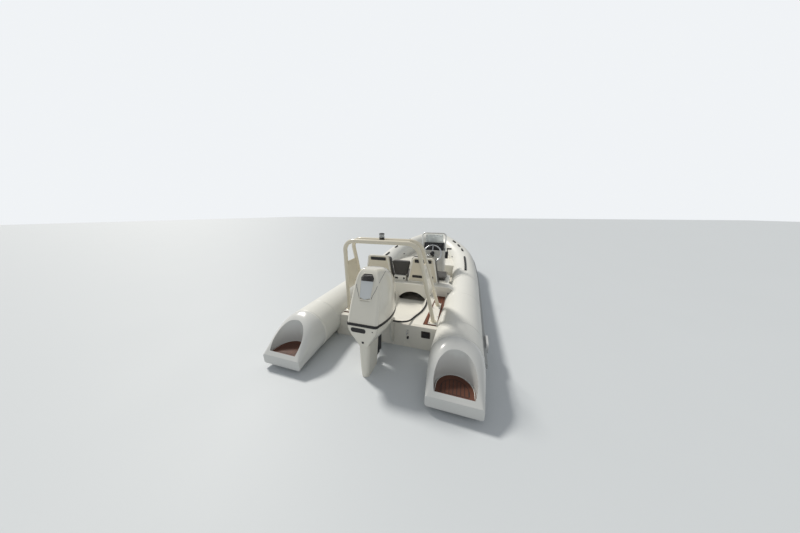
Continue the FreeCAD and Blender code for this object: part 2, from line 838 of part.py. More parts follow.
# Seats: slotted shells, with padded backs that are a little wider
seats = []
pad_y = SEAT_BACK_Y + SHELL_THICK
for side, centre in SEAT_X.items():
    outline = seat_outline(
        centre, SEAT_HALF_LOW, SEAT_HALF_TOP, BENCH_TOP, SEAT_BACK_TOP, SEAT_BACK_Y, SEAT_CORNER
    )
    shell = Part.Face(outline).extrude(NORTH * SHELL_THICK)
    seats.append(shell)
    for height, half in SLOTS:
        low = BENCH_TOP + height
        slot = box(centre - half, centre + half, SEAT_BACK_Y - 1, pad_y + 1, low, low + SLOT_HIGH)
        shell = shell.cut(slot)
    save("seat_shell_" + side, shell)
    outline = seat_outline(
        centre,
        SEAT_HALF_LOW + PAD_SPREAD,
        SEAT_HALF_TOP + PAD_SPREAD,
        BENCH_TOP,
        SEAT_BACK_TOP - PAD_DROP,
        pad_y,
        SEAT_CORNER,
    )
    pad = Part.Face(outline).extrude(NORTH * CUSHION_THICK)
    seats.append(pad)
    save("seat_pad_" + side, pad)

# The low box and pad that fill the gap between the seats
pad_fore = pad_y + CUSHION_THICK
middle_box = box(
    MIDDLE_PAD_X - MIDDLE_BOX_HALF,
    MIDDLE_PAD_X + MIDDLE_BOX_HALF,
    SEAT_BACK_Y,
    pad_fore,
    BENCH_TOP,
    MIDDLE_BOX_TOP,
)
middle_pad = box(
    MIDDLE_PAD_X - MIDDLE_PAD_HALF,
    MIDDLE_PAD_X + MIDDLE_PAD_HALF,
    pad_y,
    pad_fore,
    MIDDLE_BOX_TOP,
    MIDDLE_PAD_TOP,
)
for seat in seats:
    middle_box = middle_box.cut(seat)
    middle_pad = middle_pad.cut(seat)
save("middle_box", middle_box)
save("middle_pad", middle_pad)

def hinges(places, y, z, base, lid_edge):
    """Pins between posts that stand on the base, and the barrels that join them to a lid."""
    posts, barrels = [], []
    for x in places:
        post = box(0, HINGE_POST, y - HINGE_BARREL_R, y + HINGE_BARREL_R, base, z + HINGE_BARREL_R)
        left, right = post.copy(), post.copy()
        left.translate(EAST * (x - HINGE_HALF - HINGE_POST))
        right.translate(EAST * (x + HINGE_HALF))
        pin = rod(V(x - HINGE_HALF - 1, y, z), V(x + HINGE_HALF + 1, y, z), HINGE_PIN_R)
        posts.append(joined([left, right, pin]))
        ends = HINGE_HALF - 1
        barrel = rod(V(x - ends, y, z), V(x + ends, y, z), HINGE_BARREL_R)
        leaf = box(x - ends, x + ends, lid_edge - 1, y, z - HINGE_LEAF / 2, z + HINGE_LEAF / 2)
        bore = rod(V(x - ends - 1, y, z), V(x + ends + 1, y, z), HINGE_PIN_R + RUN_GAP)
        barrels.append(barrel.fuse(leaf).cut(bore))
    return Part.makeCompound(posts), barrels


bench_hinge_y = bench_fore - HINGE_INSET
bench_hinge_z = BENCH_TOP + LID_GAP + BENCH_LID_THICK / 2
bench_lid_fore = bench_hinge_y - HINGE_REACH
bench_lid_aft = pad_fore + LID_BEHIND_PAD
posts, barrels = hinges(BENCH_HINGES, bench_hinge_y, bench_hinge_z, BENCH_TOP, bench_lid_fore)
save("bench_hinges", posts)
lid_low = BENCH_TOP + LID_GAP
lid_high = lid_low + BENCH_LID_THICK
bench_lid = box(-BENCH_LID_HALF, BENCH_LID_HALF, bench_lid_aft, bench_lid_fore, lid_low, lid_high)
save("bench_lid", joined([bench_lid] + barrels))
cushion = rounded(BENCH_LID_HALF, bench_lid_aft, bench_lid_fore, lid_high, BENCH_CUSHION_CORNER)
save("bench_cushion", Part.Face(cushion).extrude(UP * BENCH_CUSHION))


# Console
def console_ring(z, inset):
    half = CONSOLE_HALF - CONSOLE_TAPER * (CONSOLE_HIGH - z) / (CONSOLE_HIGH - SOLE_TOP)
    ring = rounded(
        half - inset,
        CONSOLE_AFT + inset,
        CONSOLE_AFT + CONSOLE_LENGTH - inset,
        z,
        CONSOLE_CORNER - inset,
    )
    ring.translate(EAST * CONSOLE_X)
    return ring


console = Part.makeLoft([console_ring(SOLE_TOP, 0), console_ring(CONSOLE_HIGH, 0)], True, True)
console_void = Part.makeLoft(
    [console_ring(SOLE_TOP - 1, WALL), console_ring(CONSOLE_HIGH - WALL, WALL)], True, True
)
save("console", console.cut(console_void))
dash_heights = (CONSOLE_HIGH, DASH_TOP, DASH_TOP - DASH_FALL, CONSOLE_HIGH)
dash = prism(
    [V(CONSOLE_X - DASH_HALF, CONSOLE_AFT + y, z) for y, z in zip(DASH_ALONG, dash_heights)],
    EAST * (2 * DASH_HALF),
)
save("dash", dash)
screen = prism(
    [
        V(CONSOLE_X - SCREEN_HALF_LOW, CONSOLE_AFT + SCREEN_LOW_Y, DASH_TOP - SCREEN_SUNK),
        V(CONSOLE_X + SCREEN_HALF_LOW, CONSOLE_AFT + SCREEN_LOW_Y, DASH_TOP - SCREEN_SUNK),
        V(CONSOLE_X + SCREEN_HALF_HIGH, CONSOLE_AFT + SCREEN_HIGH_Y, DASH_TOP + SCREEN_TALL),
        V(CONSOLE_X - SCREEN_HALF_HIGH, CONSOLE_AFT + SCREEN_HIGH_Y, DASH_TOP + SCREEN_TALL),
    ],
    NORTH * SCREEN_THICK,
)
save("windscreen", screen.cut(dash))
rail_foot = CONSOLE_HALF - RAIL_FOOT_IN
rail = pipe(
    [
        V(CONSOLE_X - rail_foot, CONSOLE_AFT + RAIL_Y, CONSOLE_HIGH),
        V(CONSOLE_X - CONSOLE_HALF, CONSOLE_AFT + RAIL_Y, RAIL_TOP),
        V(CONSOLE_X + CONSOLE_HALF, CONSOLE_AFT + RAIL_Y, RAIL_TOP),
        V(CONSOLE_X + rail_foot, CONSOLE_AFT + RAIL_Y, CONSOLE_HIGH),
    ],
    RAIL_BEND,
    RAIL_R,
)
save("console_rail", rail.cut(console))
throttle_x = CONSOLE_X + CONSOLE_HALF
throttle_y = CONSOLE_AFT + CONSOLE_CORNER
throttle_box = box(
    throttle_x - THROTTLE_SUNK,
    throttle_x + THROTTLE_DEEP,
    throttle_y,
    throttle_y + THROTTLE_LENGTH,
    THROTTLE_LOW,
    THROTTLE_HIGH,
)
lever_top_y = throttle_y + LEVER_TOP[0]
lever = rod(
    V(throttle_x + LEVER_OUT, throttle_y + LEVER_FOOT[0], LEVER_FOOT[1]),
    V(throttle_x + LEVER_OUT, lever_top_y, LEVER_TOP[1]),
    LEVER_R,
)
grip_start = V(throttle_x + GRIP_IN, lever_top_y, LEVER_TOP[1])
grip = rod(grip_start, grip_start + EAST * (GRIP_OUT - GRIP_IN), GRIP_R)
save("throttle", joined([throttle_box, lever, grip]).cut(console).cut(console_void))

# Steering wheel
wheel_centre = V(CONSOLE_X, CONSOLE_AFT - WHEEL_BACK, WHEEL_Z)
wheel_axis = V(0, -math.cos(math.radians(WHEEL_RAKE)), math.sin(math.radians(WHEEL_RAKE)))
wheel = Part.makeTorus(WHEEL_R, WHEEL_RIM_R, wheel_centre, wheel_axis)
hub_start = wheel_centre - wheel_axis * WHEEL_HUB_AHEAD
hub = Part.makeCylinder(WHEEL_HUB_R, WHEEL_HUB_LONG, hub_start, wheel_axis)
spokes = []
along = wheel_axis.cross(EAST)
for degrees in (90, 210, 330):
    a = math.radians(degrees)
    way = EAST * math.cos(a) + along * math.sin(a)
    spokes.append(rod(wheel_centre, wheel_centre + way * WHEEL_R, SPOKE_R))
save("helm_wheel", joined([wheel, hub] + spokes))
shaft_start = hub_start - wheel_axis * RUN_GAP
column = rod(shaft_start, shaft_start - wheel_axis * COLUMN_LONG, COLUMN_R)
save("helm_column", column.cut(console).cut(console_void))

# Bow locker with a hinged lid
locker = prism(
    [
        V(-LOCKER_HALF_AFT, LOCKER_AFT, LOCKER_BASE),
        V(LOCKER_HALF_AFT, LOCKER_AFT, LOCKER_BASE),
        V(LOCKER_HALF_FORE, LOCKER_FORE, LOCKER_BASE),
        V(-LOCKER_HALF_FORE, LOCKER_FORE, LOCKER_BASE),
    ],
    UP * (LOCKER_TOP - LOCKER_BASE),
)
hatch_fore = LOCKER_AFT + HATCH_MARGIN + HATCH_LENGTH
hatch_aft = LOCKER_AFT + HATCH_MARGIN
locker_void = box(-HATCH_HALF, HATCH_HALF, hatch_aft, hatch_fore, LOCKER_BASE + WALL, LOCKER_TOP + 1)
locker = locker.cut(locker_void)
for tube in collar_both:
    locker = locker.cut(tube)
save("bow_locker", locker)
lid_low = LOCKER_TOP + LID_GAP
lid_high = lid_low + LID_THICK
bow_lid_fore = hatch_fore + LID_LAP
bow_lid_aft = hatch_aft - LID_LAP
bow_lid_half = HATCH_HALF + LID_LAP
bow_lid = box(-bow_lid_half, bow_lid_half, bow_lid_aft, bow_lid_fore, lid_low, lid_high)
bow_hinge_z = lid_low + LID_THICK / 2
posts, barrels = hinges(BOW_HINGES, bow_lid_fore + HINGE_REACH, bow_hinge_z, LOCKER_TOP, bow_lid_fore)
save("bow_hinges", posts)
save("bow_lid", joined([bow_lid] + barrels))
cushion = rounded(bow_lid_half, bow_lid_aft, bow_lid_fore, lid_high, BOW_CUSHION_CORNER)
save("bow_cushion", Part.Face(cushion).extrude(UP * BOW_CUSHION))

# Mooring cleat on the deck between the tubes
horn_z = CLEAT_Z + CLEAT_RISE
cleat_low = CLEAT_Z - CLEAT_SUNK
horns = rod(V(-CLEAT_HALF, CLEAT_Y, horn_z), V(CLEAT_HALF, CLEAT_Y, horn_z), CLEAT_HORN_R)
cleat_base = box(
    -CLEAT_BASE_X,
    CLEAT_BASE_X,
    CLEAT_Y - CLEAT_BASE_Y,
    CLEAT_Y + CLEAT_BASE_Y,
    cleat_low,
    CLEAT_Z + CLEAT_BASE_HIGH,
)
cleat = [horns, cleat_base]
for x in (-CLEAT_POST_X, CLEAT_POST_X):
    cleat.append(rod(V(x, CLEAT_Y, cleat_low), V(x, CLEAT_Y, horn_z), CLEAT_POST_R))
save("mooring_cleat", joined(cleat).cut(hull))

# Outboard, drawn upright about its tilt axis and then tilted to where it rests
tilt_axis = V(0, TILT_Y, TILT_Z)


def hang(shape):
    shape = shape.copy()
    shape.rotate(V(0, 0, 0), EAST, -TILT_REST)
    shape.translate(tilt_axis)
    return shape


face_y = TRANSOM_AFT - TILT_Y
lip_z = TRANSOM_PAD_TOP - TILT_Z
arm_outline = ARM_EDGE + [
    (face_y + ARM_HOOK, lip_z + ARM_HOOK_THICK),
    (face_y + ARM_HOOK, lip_z),
    (face_y, lip_z),
    (face_y, ARM_LOW),
]
arm = prism([V(ARM_IN_X, y, z) for y, z in arm_outline], EAST * ARM_THICK)
arm.translate(tilt_axis)
tube_end = EAST * (ARM_IN_X + ARM_THICK + TILT_TUBE_PROUD)
tilt_tube = rod(tilt_axis - tube_end, tilt_axis + tube_end, TILT_TUBE_R)
bracket = joined([arm, arm.mirror(V(0, 0, 0), EAST), tilt_tube])
save("clamp_bracket", bracket)

swivel = joined(
    [
        rod(EAST * -SWIVEL_HUB_HALF, EAST * SWIVEL_HUB_HALF, SWIVEL_HUB_R),
        box(-YOKE_HALF, YOKE_HALF, YOKE_AFT, YOKE_FORE, YOKE_LOW, SWIVEL_TOP),
        Part.makeCylinder(SWIVEL_R, SWIVEL_TOP - SWIVEL_LOW, V(0, -SWIVEL_BACK, SWIVEL_LOW), UP),
    ]
)
swivel_bore = Part.makeCylinder(PIN_R + RUN_GAP, PAST, V(0, -SWIVEL_BACK, PIN_LOW), UP)
swivel = swivel.cut(swivel_bore).cut(rod(-tube_end, tube_end, TILT_TUBE_R + RUN_GAP))
save("swivel_bracket", hang(swivel))

# Shares of a cowl section's length and half width at the points of its outline
FLAT_WIDE = 0.78
TURN_ALONG = 0.012
TURN_WIDE = 0.955
CORNER_ALONG = 0.05
WAIST_ALONG = 0.5
BROW_ALONG = 0.86
BROW_WIDE = 0.74


def cowl_ring(z, half_aft, half_most, aft, fore, inset):
    """A level section: a flat after face, bulging sides and a rounded front."""
    a, m, f = half_aft - inset, half_most - inset, half_most * BROW_WIDE - inset
    aft, fore = aft + inset, fore - inset
    length = fore - aft
    waist, brow = aft + WAIST_ALONG * length, aft + BROW_ALONG * length
    right = [
        V(FLAT_WIDE * a, aft, z),
        V(TURN_WIDE * a, aft + TURN_ALONG * length, z),
        V(a, aft + CORNER_ALONG * length, z),
    ]
    left = [V(-p.x, p.y, p.z) for p in right]
    edges = [
        Part.LineSegment(left[0], right[0]).toShape(),
        Part.Arc(*right).toShape(),
        Part.Arc(right[2], V(m, waist, z), V(f, brow, z)).toShape(),
        Part.Arc(V(f, brow, z), V(0, fore, z), V(-f, brow, z)).toShape(),
        Part.Arc(V(-f, brow, z), V(-m, waist, z), left[2]).toShape(),
        Part.Arc(left[2], left[1], left[0]).toShape(),
    ]
    return Part.Wire(edges)


cowl_outer = Part.makeLoft([cowl_ring(*row, 0) for row in COWL_SECTIONS], True, False)
inner_rings = [
    cowl_ring(z - COWL_WALL if z > SEAM_Z else z - 1, a, m, aft, fore, COWL_WALL)
    for z, a, m, aft, fore in COWL_SECTIONS
]
cowl = cowl_outer.cut(Part.makeLoft(inner_rings, True, False))
rake = math.degrees(math.atan2(COWL_SECTIONS[3][3] - COWL_SECTIONS[0][3], COWL_SECTIONS[3][0] - SEAM_Z))
vent_right = [
    (VENT_HALF * VENT_FOOT_SHARE, VENT_LOW),
    (VENT_HALF, VENT_HIGH - VENT_SHOULDER),
    (VENT_HALF * VENT_TOP_SHARE, VENT_HIGH),
]
vent_outline = vent_right + [(-x, z) for x, z in reversed(vent_right)]
vent = prism([V(x, -VENT_CUT, z - SEAM_Z) for x, z in vent_outline], NORTH * (VENT_CUT + VENT_DEEP / 2))
vent.rotate(V(0, 0, 0), EAST, -rake)
vent.translate(V(0, COWL_SECTIONS[0][3], SEAM_Z))
save("cowl", hang(cowl.cut(vent)))
save("powerhead", hang(box(-ENGINE_HALF, ENGINE_HALF, ENGINE_AFT, ENGINE_FORE, SEAM_Z - 1, ENGINE_TOP)))

# Lower pan sections, from the leg up to the seam
PAN_SECTIONS = [
    (-70, 50, 62, -545, -245),
    (0, 92, 118, -560, -205),
    (75, 140, 182, -580, -40),
    (SEAM_Z - 1, 168, 205, -592, 150),
]
pan = Part.makeLoft([cowl_ring(*row, 0) for row in PAN_SECTIONS], True, False)
pan_vent = box(PAN_VENT_LEFT, PAN_VENT_RIGHT, -PAST, PAN_VENT_IN, PAN_VENT_LOW, PAN_VENT_HIGH)
pan_clear = Part.makeCylinder(PAN_CLEAR_R, PAN_LOW + PAST, V(0, -SWIVEL_BACK, -PAST), UP)
pan_clear = pan_clear.fuse(box(-PAST, PAST, -SWIVEL_BACK, PAST, -PAST, PAN_LOW))
save("lower_pan", hang(pan.cut(pan_vent).cut(pan_clear)))

hose_points = [V(*p) for p in HOSE_ROUTE]
hose_path = bent_path(hose_points)
hose_bends = [round(edge.Curve.Radius) for edge in hose_path.Edges if hasattr(edge.Curve, "Radius")]
print("The hose is", round(hose_path.Length), "mm long, with bends of radius", hose_bends)
save("rigging_hose", pipe(hose_points, None, HOSE_R))

LEG_SECTIONS = [
    (PLATE_Z, 40, -500, -260, 36),
    (-300, 52, -535, -252, 44),
    (-71, 60, -543, -247, 50),
]
leg = Part.makeLoft([rounded(hw, aft, fore, z, c) for z, hw, aft, fore, c in LEG_SECTIONS], True, False)
save("midsection", hang(leg))
steering_pin = joined(
    [
        Part.makeCylinder(PIN_R, PAN_LOW - PIN_LOW, V(0, -SWIVEL_BACK, PIN_LOW), UP),
        box(-PIN_FOOT_HALF, PIN_FOOT_HALF, PIN_FOOT_AFT, -SWIVEL_BACK, PIN_LOW, PIN_LOW + PIN_FOOT_HALF),
    ]
)
save("steering_pin", hang(steering_pin.cut(leg)))

plate_low = PLATE_Z - PLATE_THICK - 1
plate_outline = rounded(PLATE_HALF, PLATE_AFT, PLATE_FORE, plate_low, PLATE_HALF - 6)
plate = Part.Face(plate_outline).extrude(UP * PLATE_THICK)
strut_rings = [rounded(22, -560, -250, SHAFT_Z, 18), rounded(38, -510, -255, plate_low, 34)]
strut = Part.makeLoft(strut_rings, True, True)
bullet = Part.makeCylinder(BULLET_R, BULLET_LENGTH, V(0, BULLET_AFT, SHAFT_Z), NORTH)
nose_start = V(0, BULLET_AFT + BULLET_LENGTH, SHAFT_Z)
nose = Part.makeCone(BULLET_R, SHAFT_R, NOSE_LENGTH, nose_start, NORTH)
skeg_outline = [(-600, 0), (-360, 0), (-500, -SKEG_DROP), (-600, -SKEG_DROP)]
skeg = prism([V(-SKEG_THICK / 2, y, SHAFT_Z + z) for y, z in skeg_outline], EAST * SKEG_THICK)
shaft = Part.makeCylinder(SHAFT_R, SHAFT_LONG, V(0, SHAFT_AFT, SHAFT_Z), NORTH)
gearcase = joined([plate, strut, bullet, nose, skeg, shaft])
save("gearcase", hang(gearcase))

prop_hub = Part.makeCone(PROP_HUB_R, BULLET_R, PROP_HUB_LENGTH, V(0, PROP_HUB_AFT, SHAFT_Z), NORTH)


def blade_section(r, chord, pitch, thick):
    """A lens of two arcs, at a radius from the shaft, turned to its pitch."""
    lead, tail = V(chord / 2, 0, r), V(-chord / 2, 0, r)
    edges = [
        Part.Arc(tail, V(0, thick, r), lead).toShape(),
        Part.Arc(lead, V(0, -thick, r), tail).toShape(),
    ]
    wire = Part.Wire(edges)
    wire.rotate(V(0, 0, 0), UP, pitch)
    return wire


BLADE_SECTIONS = [(30, 70, 58, 8), (80, 118, 36, 6), (130, 118, 25, 4), (PROP_R, 50, 20, 2)]
blade = Part.makeLoft([blade_section(*row) for row in BLADE_SECTIONS], True, False)
blades = []
for k in range(BLADES):
    turned = blade.copy()
    turned.rotate(V(0, 0, 0), NORTH, 360 / BLADES * k)
    turned.translate(V(0, BLADE_Y, SHAFT_Z))
    blades.append(turned)
shaft_bore = Part.makeCylinder(SHAFT_R + RUN_GAP, PAST, V(0, -PAST, SHAFT_Z), NORTH)
save("propeller", hang(joined([prop_hub] + blades).cut(shaft_bore)))
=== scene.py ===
import json
import math

import bmesh
import bpy
from mathutils import Matrix, Vector
from mathutils.bvhtree import BVHTree


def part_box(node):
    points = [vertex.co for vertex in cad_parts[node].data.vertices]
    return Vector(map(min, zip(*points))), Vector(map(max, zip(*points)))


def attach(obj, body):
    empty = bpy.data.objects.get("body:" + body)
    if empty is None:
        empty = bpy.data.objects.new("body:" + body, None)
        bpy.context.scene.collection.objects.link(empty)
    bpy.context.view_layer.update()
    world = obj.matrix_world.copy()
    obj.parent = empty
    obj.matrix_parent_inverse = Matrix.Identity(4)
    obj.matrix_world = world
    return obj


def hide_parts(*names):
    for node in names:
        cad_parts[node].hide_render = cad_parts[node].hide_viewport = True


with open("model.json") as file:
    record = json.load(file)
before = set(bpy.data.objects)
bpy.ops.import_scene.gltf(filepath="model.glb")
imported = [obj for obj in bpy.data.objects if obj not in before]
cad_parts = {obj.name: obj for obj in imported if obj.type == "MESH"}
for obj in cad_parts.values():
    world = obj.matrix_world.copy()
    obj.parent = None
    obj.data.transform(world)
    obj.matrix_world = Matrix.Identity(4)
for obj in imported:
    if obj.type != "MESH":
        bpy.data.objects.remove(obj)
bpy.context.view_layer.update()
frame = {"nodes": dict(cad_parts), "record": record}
nodes = frame["nodes"]
body_with = {n: body for body, members in frame["record"]["behaviour"]["bodies"].items() for n in members}

# The stage is a plain pale floor at the waterline, in a pale room.
# A soft sun stands high over the port bow, and the room fills the shade from all sides.
STERN = -2.6
EYE = (0.8819, STERN - 1.4104, 1.730)
EYE_TOWARDS = (-0.27887, 0.92365, -0.26286)
LENS = 9.0
SENSOR = 36.0
EYE_SEES = 200
FLOOR_REACH = 60.0
FLOOR_COLOUR = (0.56, 0.59, 0.61, 1)
ROOM_COLOUR = (0.95, 0.975, 1.0, 1)
ROOM_SEEN = 0.92
ROOM_FILL = 0.50
SUN_POWER = 2.7
SUN_SPREAD = 0.16
SUN_FROM = (-0.62, 0.30, 0.78)


def wired(tree, *wires):
    """Links in a tree of nodes, each from a node's output to a node's input."""
    for source, out, target, into in wires:
        tree.links.new(source.outputs[out], target.inputs[into])


scene = bpy.context.scene
scene.view_settings.view_transform = "Standard"
eye_lens = bpy.data.cameras.new("eye")
eye_lens.lens = LENS
eye_lens.sensor_width = SENSOR
eye_lens.clip_end = EYE_SEES
eye = bpy.data.objects.new("eye", eye_lens)
eye.location = EYE
eye.rotation_euler = Vector(EYE_TOWARDS).to_track_quat("-Z", "Y").to_euler()
scene.collection.objects.link(eye)
scene.camera = eye

sun_light = bpy.data.lights.new("sun", "SUN")
sun_light.energy = SUN_POWER
sun_light.angle = SUN_SPREAD
sun_light.color = (1.0, 0.96, 0.90)
sun = bpy.data.objects.new("sun", sun_light)
sun.rotation_euler = Vector(SUN_FROM).to_track_quat("Z", "Y").to_euler()
scene.collection.objects.link(sun)

room = bpy.data.worlds.new("room")
room.use_nodes = True
scene.world = room
air = room.node_tree
backdrop = air.nodes["Background"]
backdrop.inputs["Color"].default_value = ROOM_COLOUR
seen = air.nodes.new("ShaderNodeLightPath")
level = air.nodes.new("ShaderNodeMapRange")
level.inputs["To Min"].default_value = ROOM_FILL
level.inputs["To Max"].default_value = ROOM_SEEN
wired(air, (seen, "Is Camera Ray", level, "Value"), (level, "Result", backdrop, "Strength"))


def linked(name, mesh):
    piece = bpy.data.objects.new(name, mesh)
    scene.collection.objects.link(piece)
    return piece


def from_faces(name, points, faces):
    mesh = bpy.data.meshes.new(name)
    mesh.from_pydata([tuple(p) for p in points], [], faces)
    mesh.update()
    return linked(name, mesh)


def screen(red, green, blue):
    """A colour picked as 0 to 255 on a screen, as a shader wants it."""
    shares = [c / 255 for c in (red, green, blue)]
    return tuple(c / 12.92 if c <= 0.04045 else ((c + 0.055) / 1.055) ** 2.4 for c in shares) + (1,)


def shaded(colour, share):
    return tuple(min(1, c * share) for c in colour[:3]) + (1,)


GLOSS_LEAST = 0.03
GLOSS_SWING = 0.07
GRAIN_DEEP = 0.002


def finish(name, colour, rough, mottle=0.05, patches=6.0, grain=0.0, fine=300.0, **sockets):
    """A shader with a slightly uneven colour and gloss and a fine grain, on Object coordinates.

    The mottle and the grain have a strength each, and patches and fine are their scales.
    """
    made = bpy.data.materials.new(name)
    made.use_nodes = True
    tree = made.node_tree
    shader = tree.nodes["Principled BSDF"]
    place = tree.nodes.new("ShaderNodeTexCoord")
    cloud = tree.nodes.new("ShaderNodeTexNoise")
    cloud.inputs["Scale"].default_value = patches
    cloud.inputs["Detail"].default_value = 5
    tint = tree.nodes.new("ShaderNodeMix")
    tint.data_type = "RGBA"
    tint.inputs["A"].default_value = shaded(colour, 1 - mottle)
    tint.inputs["B"].default_value = shaded(colour, 1 + mottle)
    gloss = tree.nodes.new("ShaderNodeMapRange")
    gloss.inputs["To Min"].default_value = max(GLOSS_LEAST, rough - GLOSS_SWING)
    gloss.inputs["To Max"].default_value = min(1, rough + GLOSS_SWING)
    speckle = tree.nodes.new("ShaderNodeTexNoise")
    speckle.inputs["Scale"].default_value = fine
    bump = tree.nodes.new("ShaderNodeBump")
    bump.name = "grain"
    bump.inputs["Strength"].default_value = grain
    bump.inputs["Distance"].default_value = GRAIN_DEEP
    wired(
        tree,
        (place, "Object", cloud, "Vector"),
        (place, "Object", speckle, "Vector"),
        (cloud, "Fac", tint, "Factor"),
        (cloud, "Fac", gloss, "Value"),
        (speckle, "Fac", bump, "Height"),
        (tint, "Result", shader, "Base Color"),
        (gloss, "Result", shader, "Roughness"),
        (bump, "Normal", shader, "Normal"),
    )
    for socket, value in sockets.items():
        shader.inputs[socket.replace("_", " ")].default_value = value
    return made


def dress(material, *names):
    for name in names:
        for place in nodes[name].material_slots:
            place.material = material


floor_corners = [(FLOOR_REACH * x, FLOOR_REACH * y, 0) for x, y in ((-1, -1), (1, -1), (1, 1), (-1, 1))]
floor = from_faces("floor", floor_corners, [(0, 1, 2, 3)])
floor.data.materials.append(finish("pale_floor", FLOOR_COLOUR, 0.6, mottle=0.012, patches=0.7))

# The steering hose leaves the end of the tilt tube, drops over the transom and lies on the deck
# round the drain well to the bench. It is corrugated black plastic, held only at its two ends.
HOSE_R = 0.011
HOSE_LIE = 0.331
HOSE_DROP = [(0.142, 0.740, 0.395), (0.198, 0.740, 0.395), (0.253, 0.757, 0.390)]
HOSE_DROP += [(0.294, 0.796, 0.379), (0.316, 0.852, 0.359), (0.327, 0.914, 0.340)]
HOSE_LAID = [(0.340, 0.976), (0.360, 1.046), (0.392, 1.132), (0.422, 1.230)]
HOSE_LAID += [(0.440, 1.345), (0.445, 1.480), (0.430, 1.650), (0.430, 1.850)]
hose_route = HOSE_DROP + [(x, y, HOSE_LIE) for x, y in HOSE_LAID]
HOSE_RIB = 0.007
HOSE_RIB_DEEP = 0.0012
HOSE_FINE = 56


def baked(piece):
    """The mesh that a curve, or a piece with modifiers, comes to. The piece itself is removed."""
    bpy.context.view_layer.update()
    mesh = bpy.data.meshes.new_from_object(piece.evaluated_get(bpy.context.evaluated_depsgraph_get()))
    bpy.data.objects.remove(piece)
    return mesh


line = bpy.data.curves.new("hose_guide", "CURVE")
line.dimensions = "3D"
line.resolution_u = HOSE_FINE
spline = line.splines.new("NURBS")
spline.points.add(len(hose_route) - 1)
for point, (x, y, z) in zip(spline.points, hose_route):
    point.co = (x, y + STERN, z, 1)
spline.order_u = 3
spline.use_endpoint_u = True
hose_line = [v.co.copy() for v in baked(linked("hose_guide", line)).vertices]


def smooth(piece, angle=35):
    """Smooth shading, apart from edges sharper than the angle, with doubles merged and faces outwards."""
    shape = bmesh.new()
    shape.from_mesh(piece.data)
    bmesh.ops.remove_doubles(shape, verts=shape.verts, dist=1e-6)
    bmesh.ops.recalc_face_normals(shape, faces=shape.faces)
    shape.to_mesh(piece.data)
    shape.free()
    piece.data.shade_smooth()
    piece.data.set_sharp_from_angle(angle=math.radians(angle))
    return piece


def circle(centre, side, up, radius, sides):
    """Points round a circle in the plane of two directions."""
    turns = [2 * math.pi * j / sides for j in range(sides)]
    return [centre + (side * math.cos(a) + up * math.sin(a)) * radius for a in turns]


def rings_joined(count, rows, around=False):
    """Faces that join rings of points, each with the next, and that close the ends or lead around."""
    faces = []
    for r in range(rows if around else rows - 1):
        after = (r + 1) % rows
        for k in range(count):
            n = (k + 1) % count
            faces.append((r * count + k, r * count + n, after * count + n, after * count + k))
    if not around:
        faces.append(tuple(range(count))[::-1])
        faces.append(tuple((rows - 1) * count + k for k in range(count)))
    return faces


def tube(name, points, radii, sides=16, closed=False, angle=60):
    """A round tube through points, with one radius or one for each, on frames that turn the least."""
    count = len(points)
    rings = []
    side = None
    for k, p in enumerate(points):
        before = points[k - 1] if k or closed else p
        after = points[(k + 1) % count] if k + 1 < count or closed else p
        ahead = (after - before).normalized()
        if side is None:
            side = ahead.orthogonal().normalized()
        side = (side - ahead * side.dot(ahead)).normalized()
        radius = radii[k] if isinstance(radii, list) else radii
        rings += circle(p, side, ahead.cross(side), radius, sides)
    return smooth(from_faces(name, rings, rings_joined(sides, count, closed)), angle)


def fitted(piece, body, material=None):
    """The piece rides on its body, and takes the material if one is given."""
    if material:
        piece.data.materials.clear()
        piece.data.materials.append(material)
    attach(piece, body)
    return piece


black_rubber = finish("black_rubber", screen(24, 24, 26), 0.5, mottle=0.12, grain=0.25, fine=420)
ribbing, hose_length = [HOSE_R], 0.0
for a, b in zip(hose_line, hose_line[1:]):
    hose_length += (b - a).length
    ribbing.append(HOSE_R - HOSE_RIB_DEEP * (0.5 - 0.5 * math.cos(2 * math.pi * hose_length / HOSE_RIB)))
hose = tube("steering_hose", hose_line, ribbing, sides=14, angle=80)
fitted(hose, "hull", black_rubber)
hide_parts("rigging_hose")

# The hull and transom are white moulded laminate under a gel coat, with a satin shine.
# Slight waves and a fine orange-peel show in their reflections.
LAMINATE_WHITE = screen(216, 213, 203)
FLAT_UNDER = math.radians(1.5)
SOFT_OVER = math.radians(38)
SHARP_OVER = math.radians(40)


def solid_of(node):
    """A CAD piece's mesh to work on, with its doubles merged."""
    shape = bmesh.new()
    shape.from_mesh(nodes[node].data)
    bmesh.ops.remove_doubles(shape, verts=shape.verts, dist=1e-5)
    return shape


def softened(name, node, width, material):
    """A copy of a moulded CAD piece with its sharp edges rounded, in place of it."""
    shape = solid_of(node)
    bmesh.ops.dissolve_limit(shape, angle_limit=FLAT_UNDER, verts=shape.verts, edges=shape.edges)
    edges = [e for e in shape.edges if len(e.link_faces) == 2 and e.calc_face_angle(0) > SOFT_OVER]
    rounding = {"offset": width, "segments": 3, "profile": 0.5, "affect": "EDGES", "clamp_overlap": True}
    bmesh.ops.bevel(shape, geom=edges, **rounding)
    mesh = bpy.data.meshes.new(name)
    shape.to_mesh(mesh)
    shape.free()
    mesh.shade_smooth()
    mesh.set_sharp_from_angle(angle=SHARP_OVER)
    raw = linked(name, mesh)
    raw.modifiers.new("even", "WEIGHTED_NORMAL").keep_sharp = True
    piece = fitted(linked(name, baked(raw)), body_with[node], material)
    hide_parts(node)
    return piece


laminate = finish(
    "laminate", LAMINATE_WHITE, 0.26,
    mottle=0.035, patches=2.5, grain=0.03, fine=70, Coat_Weight=0.3,
)
dress(laminate, "hull_shell")
softened("transom_moulding", "transom", 0.006, laminate)

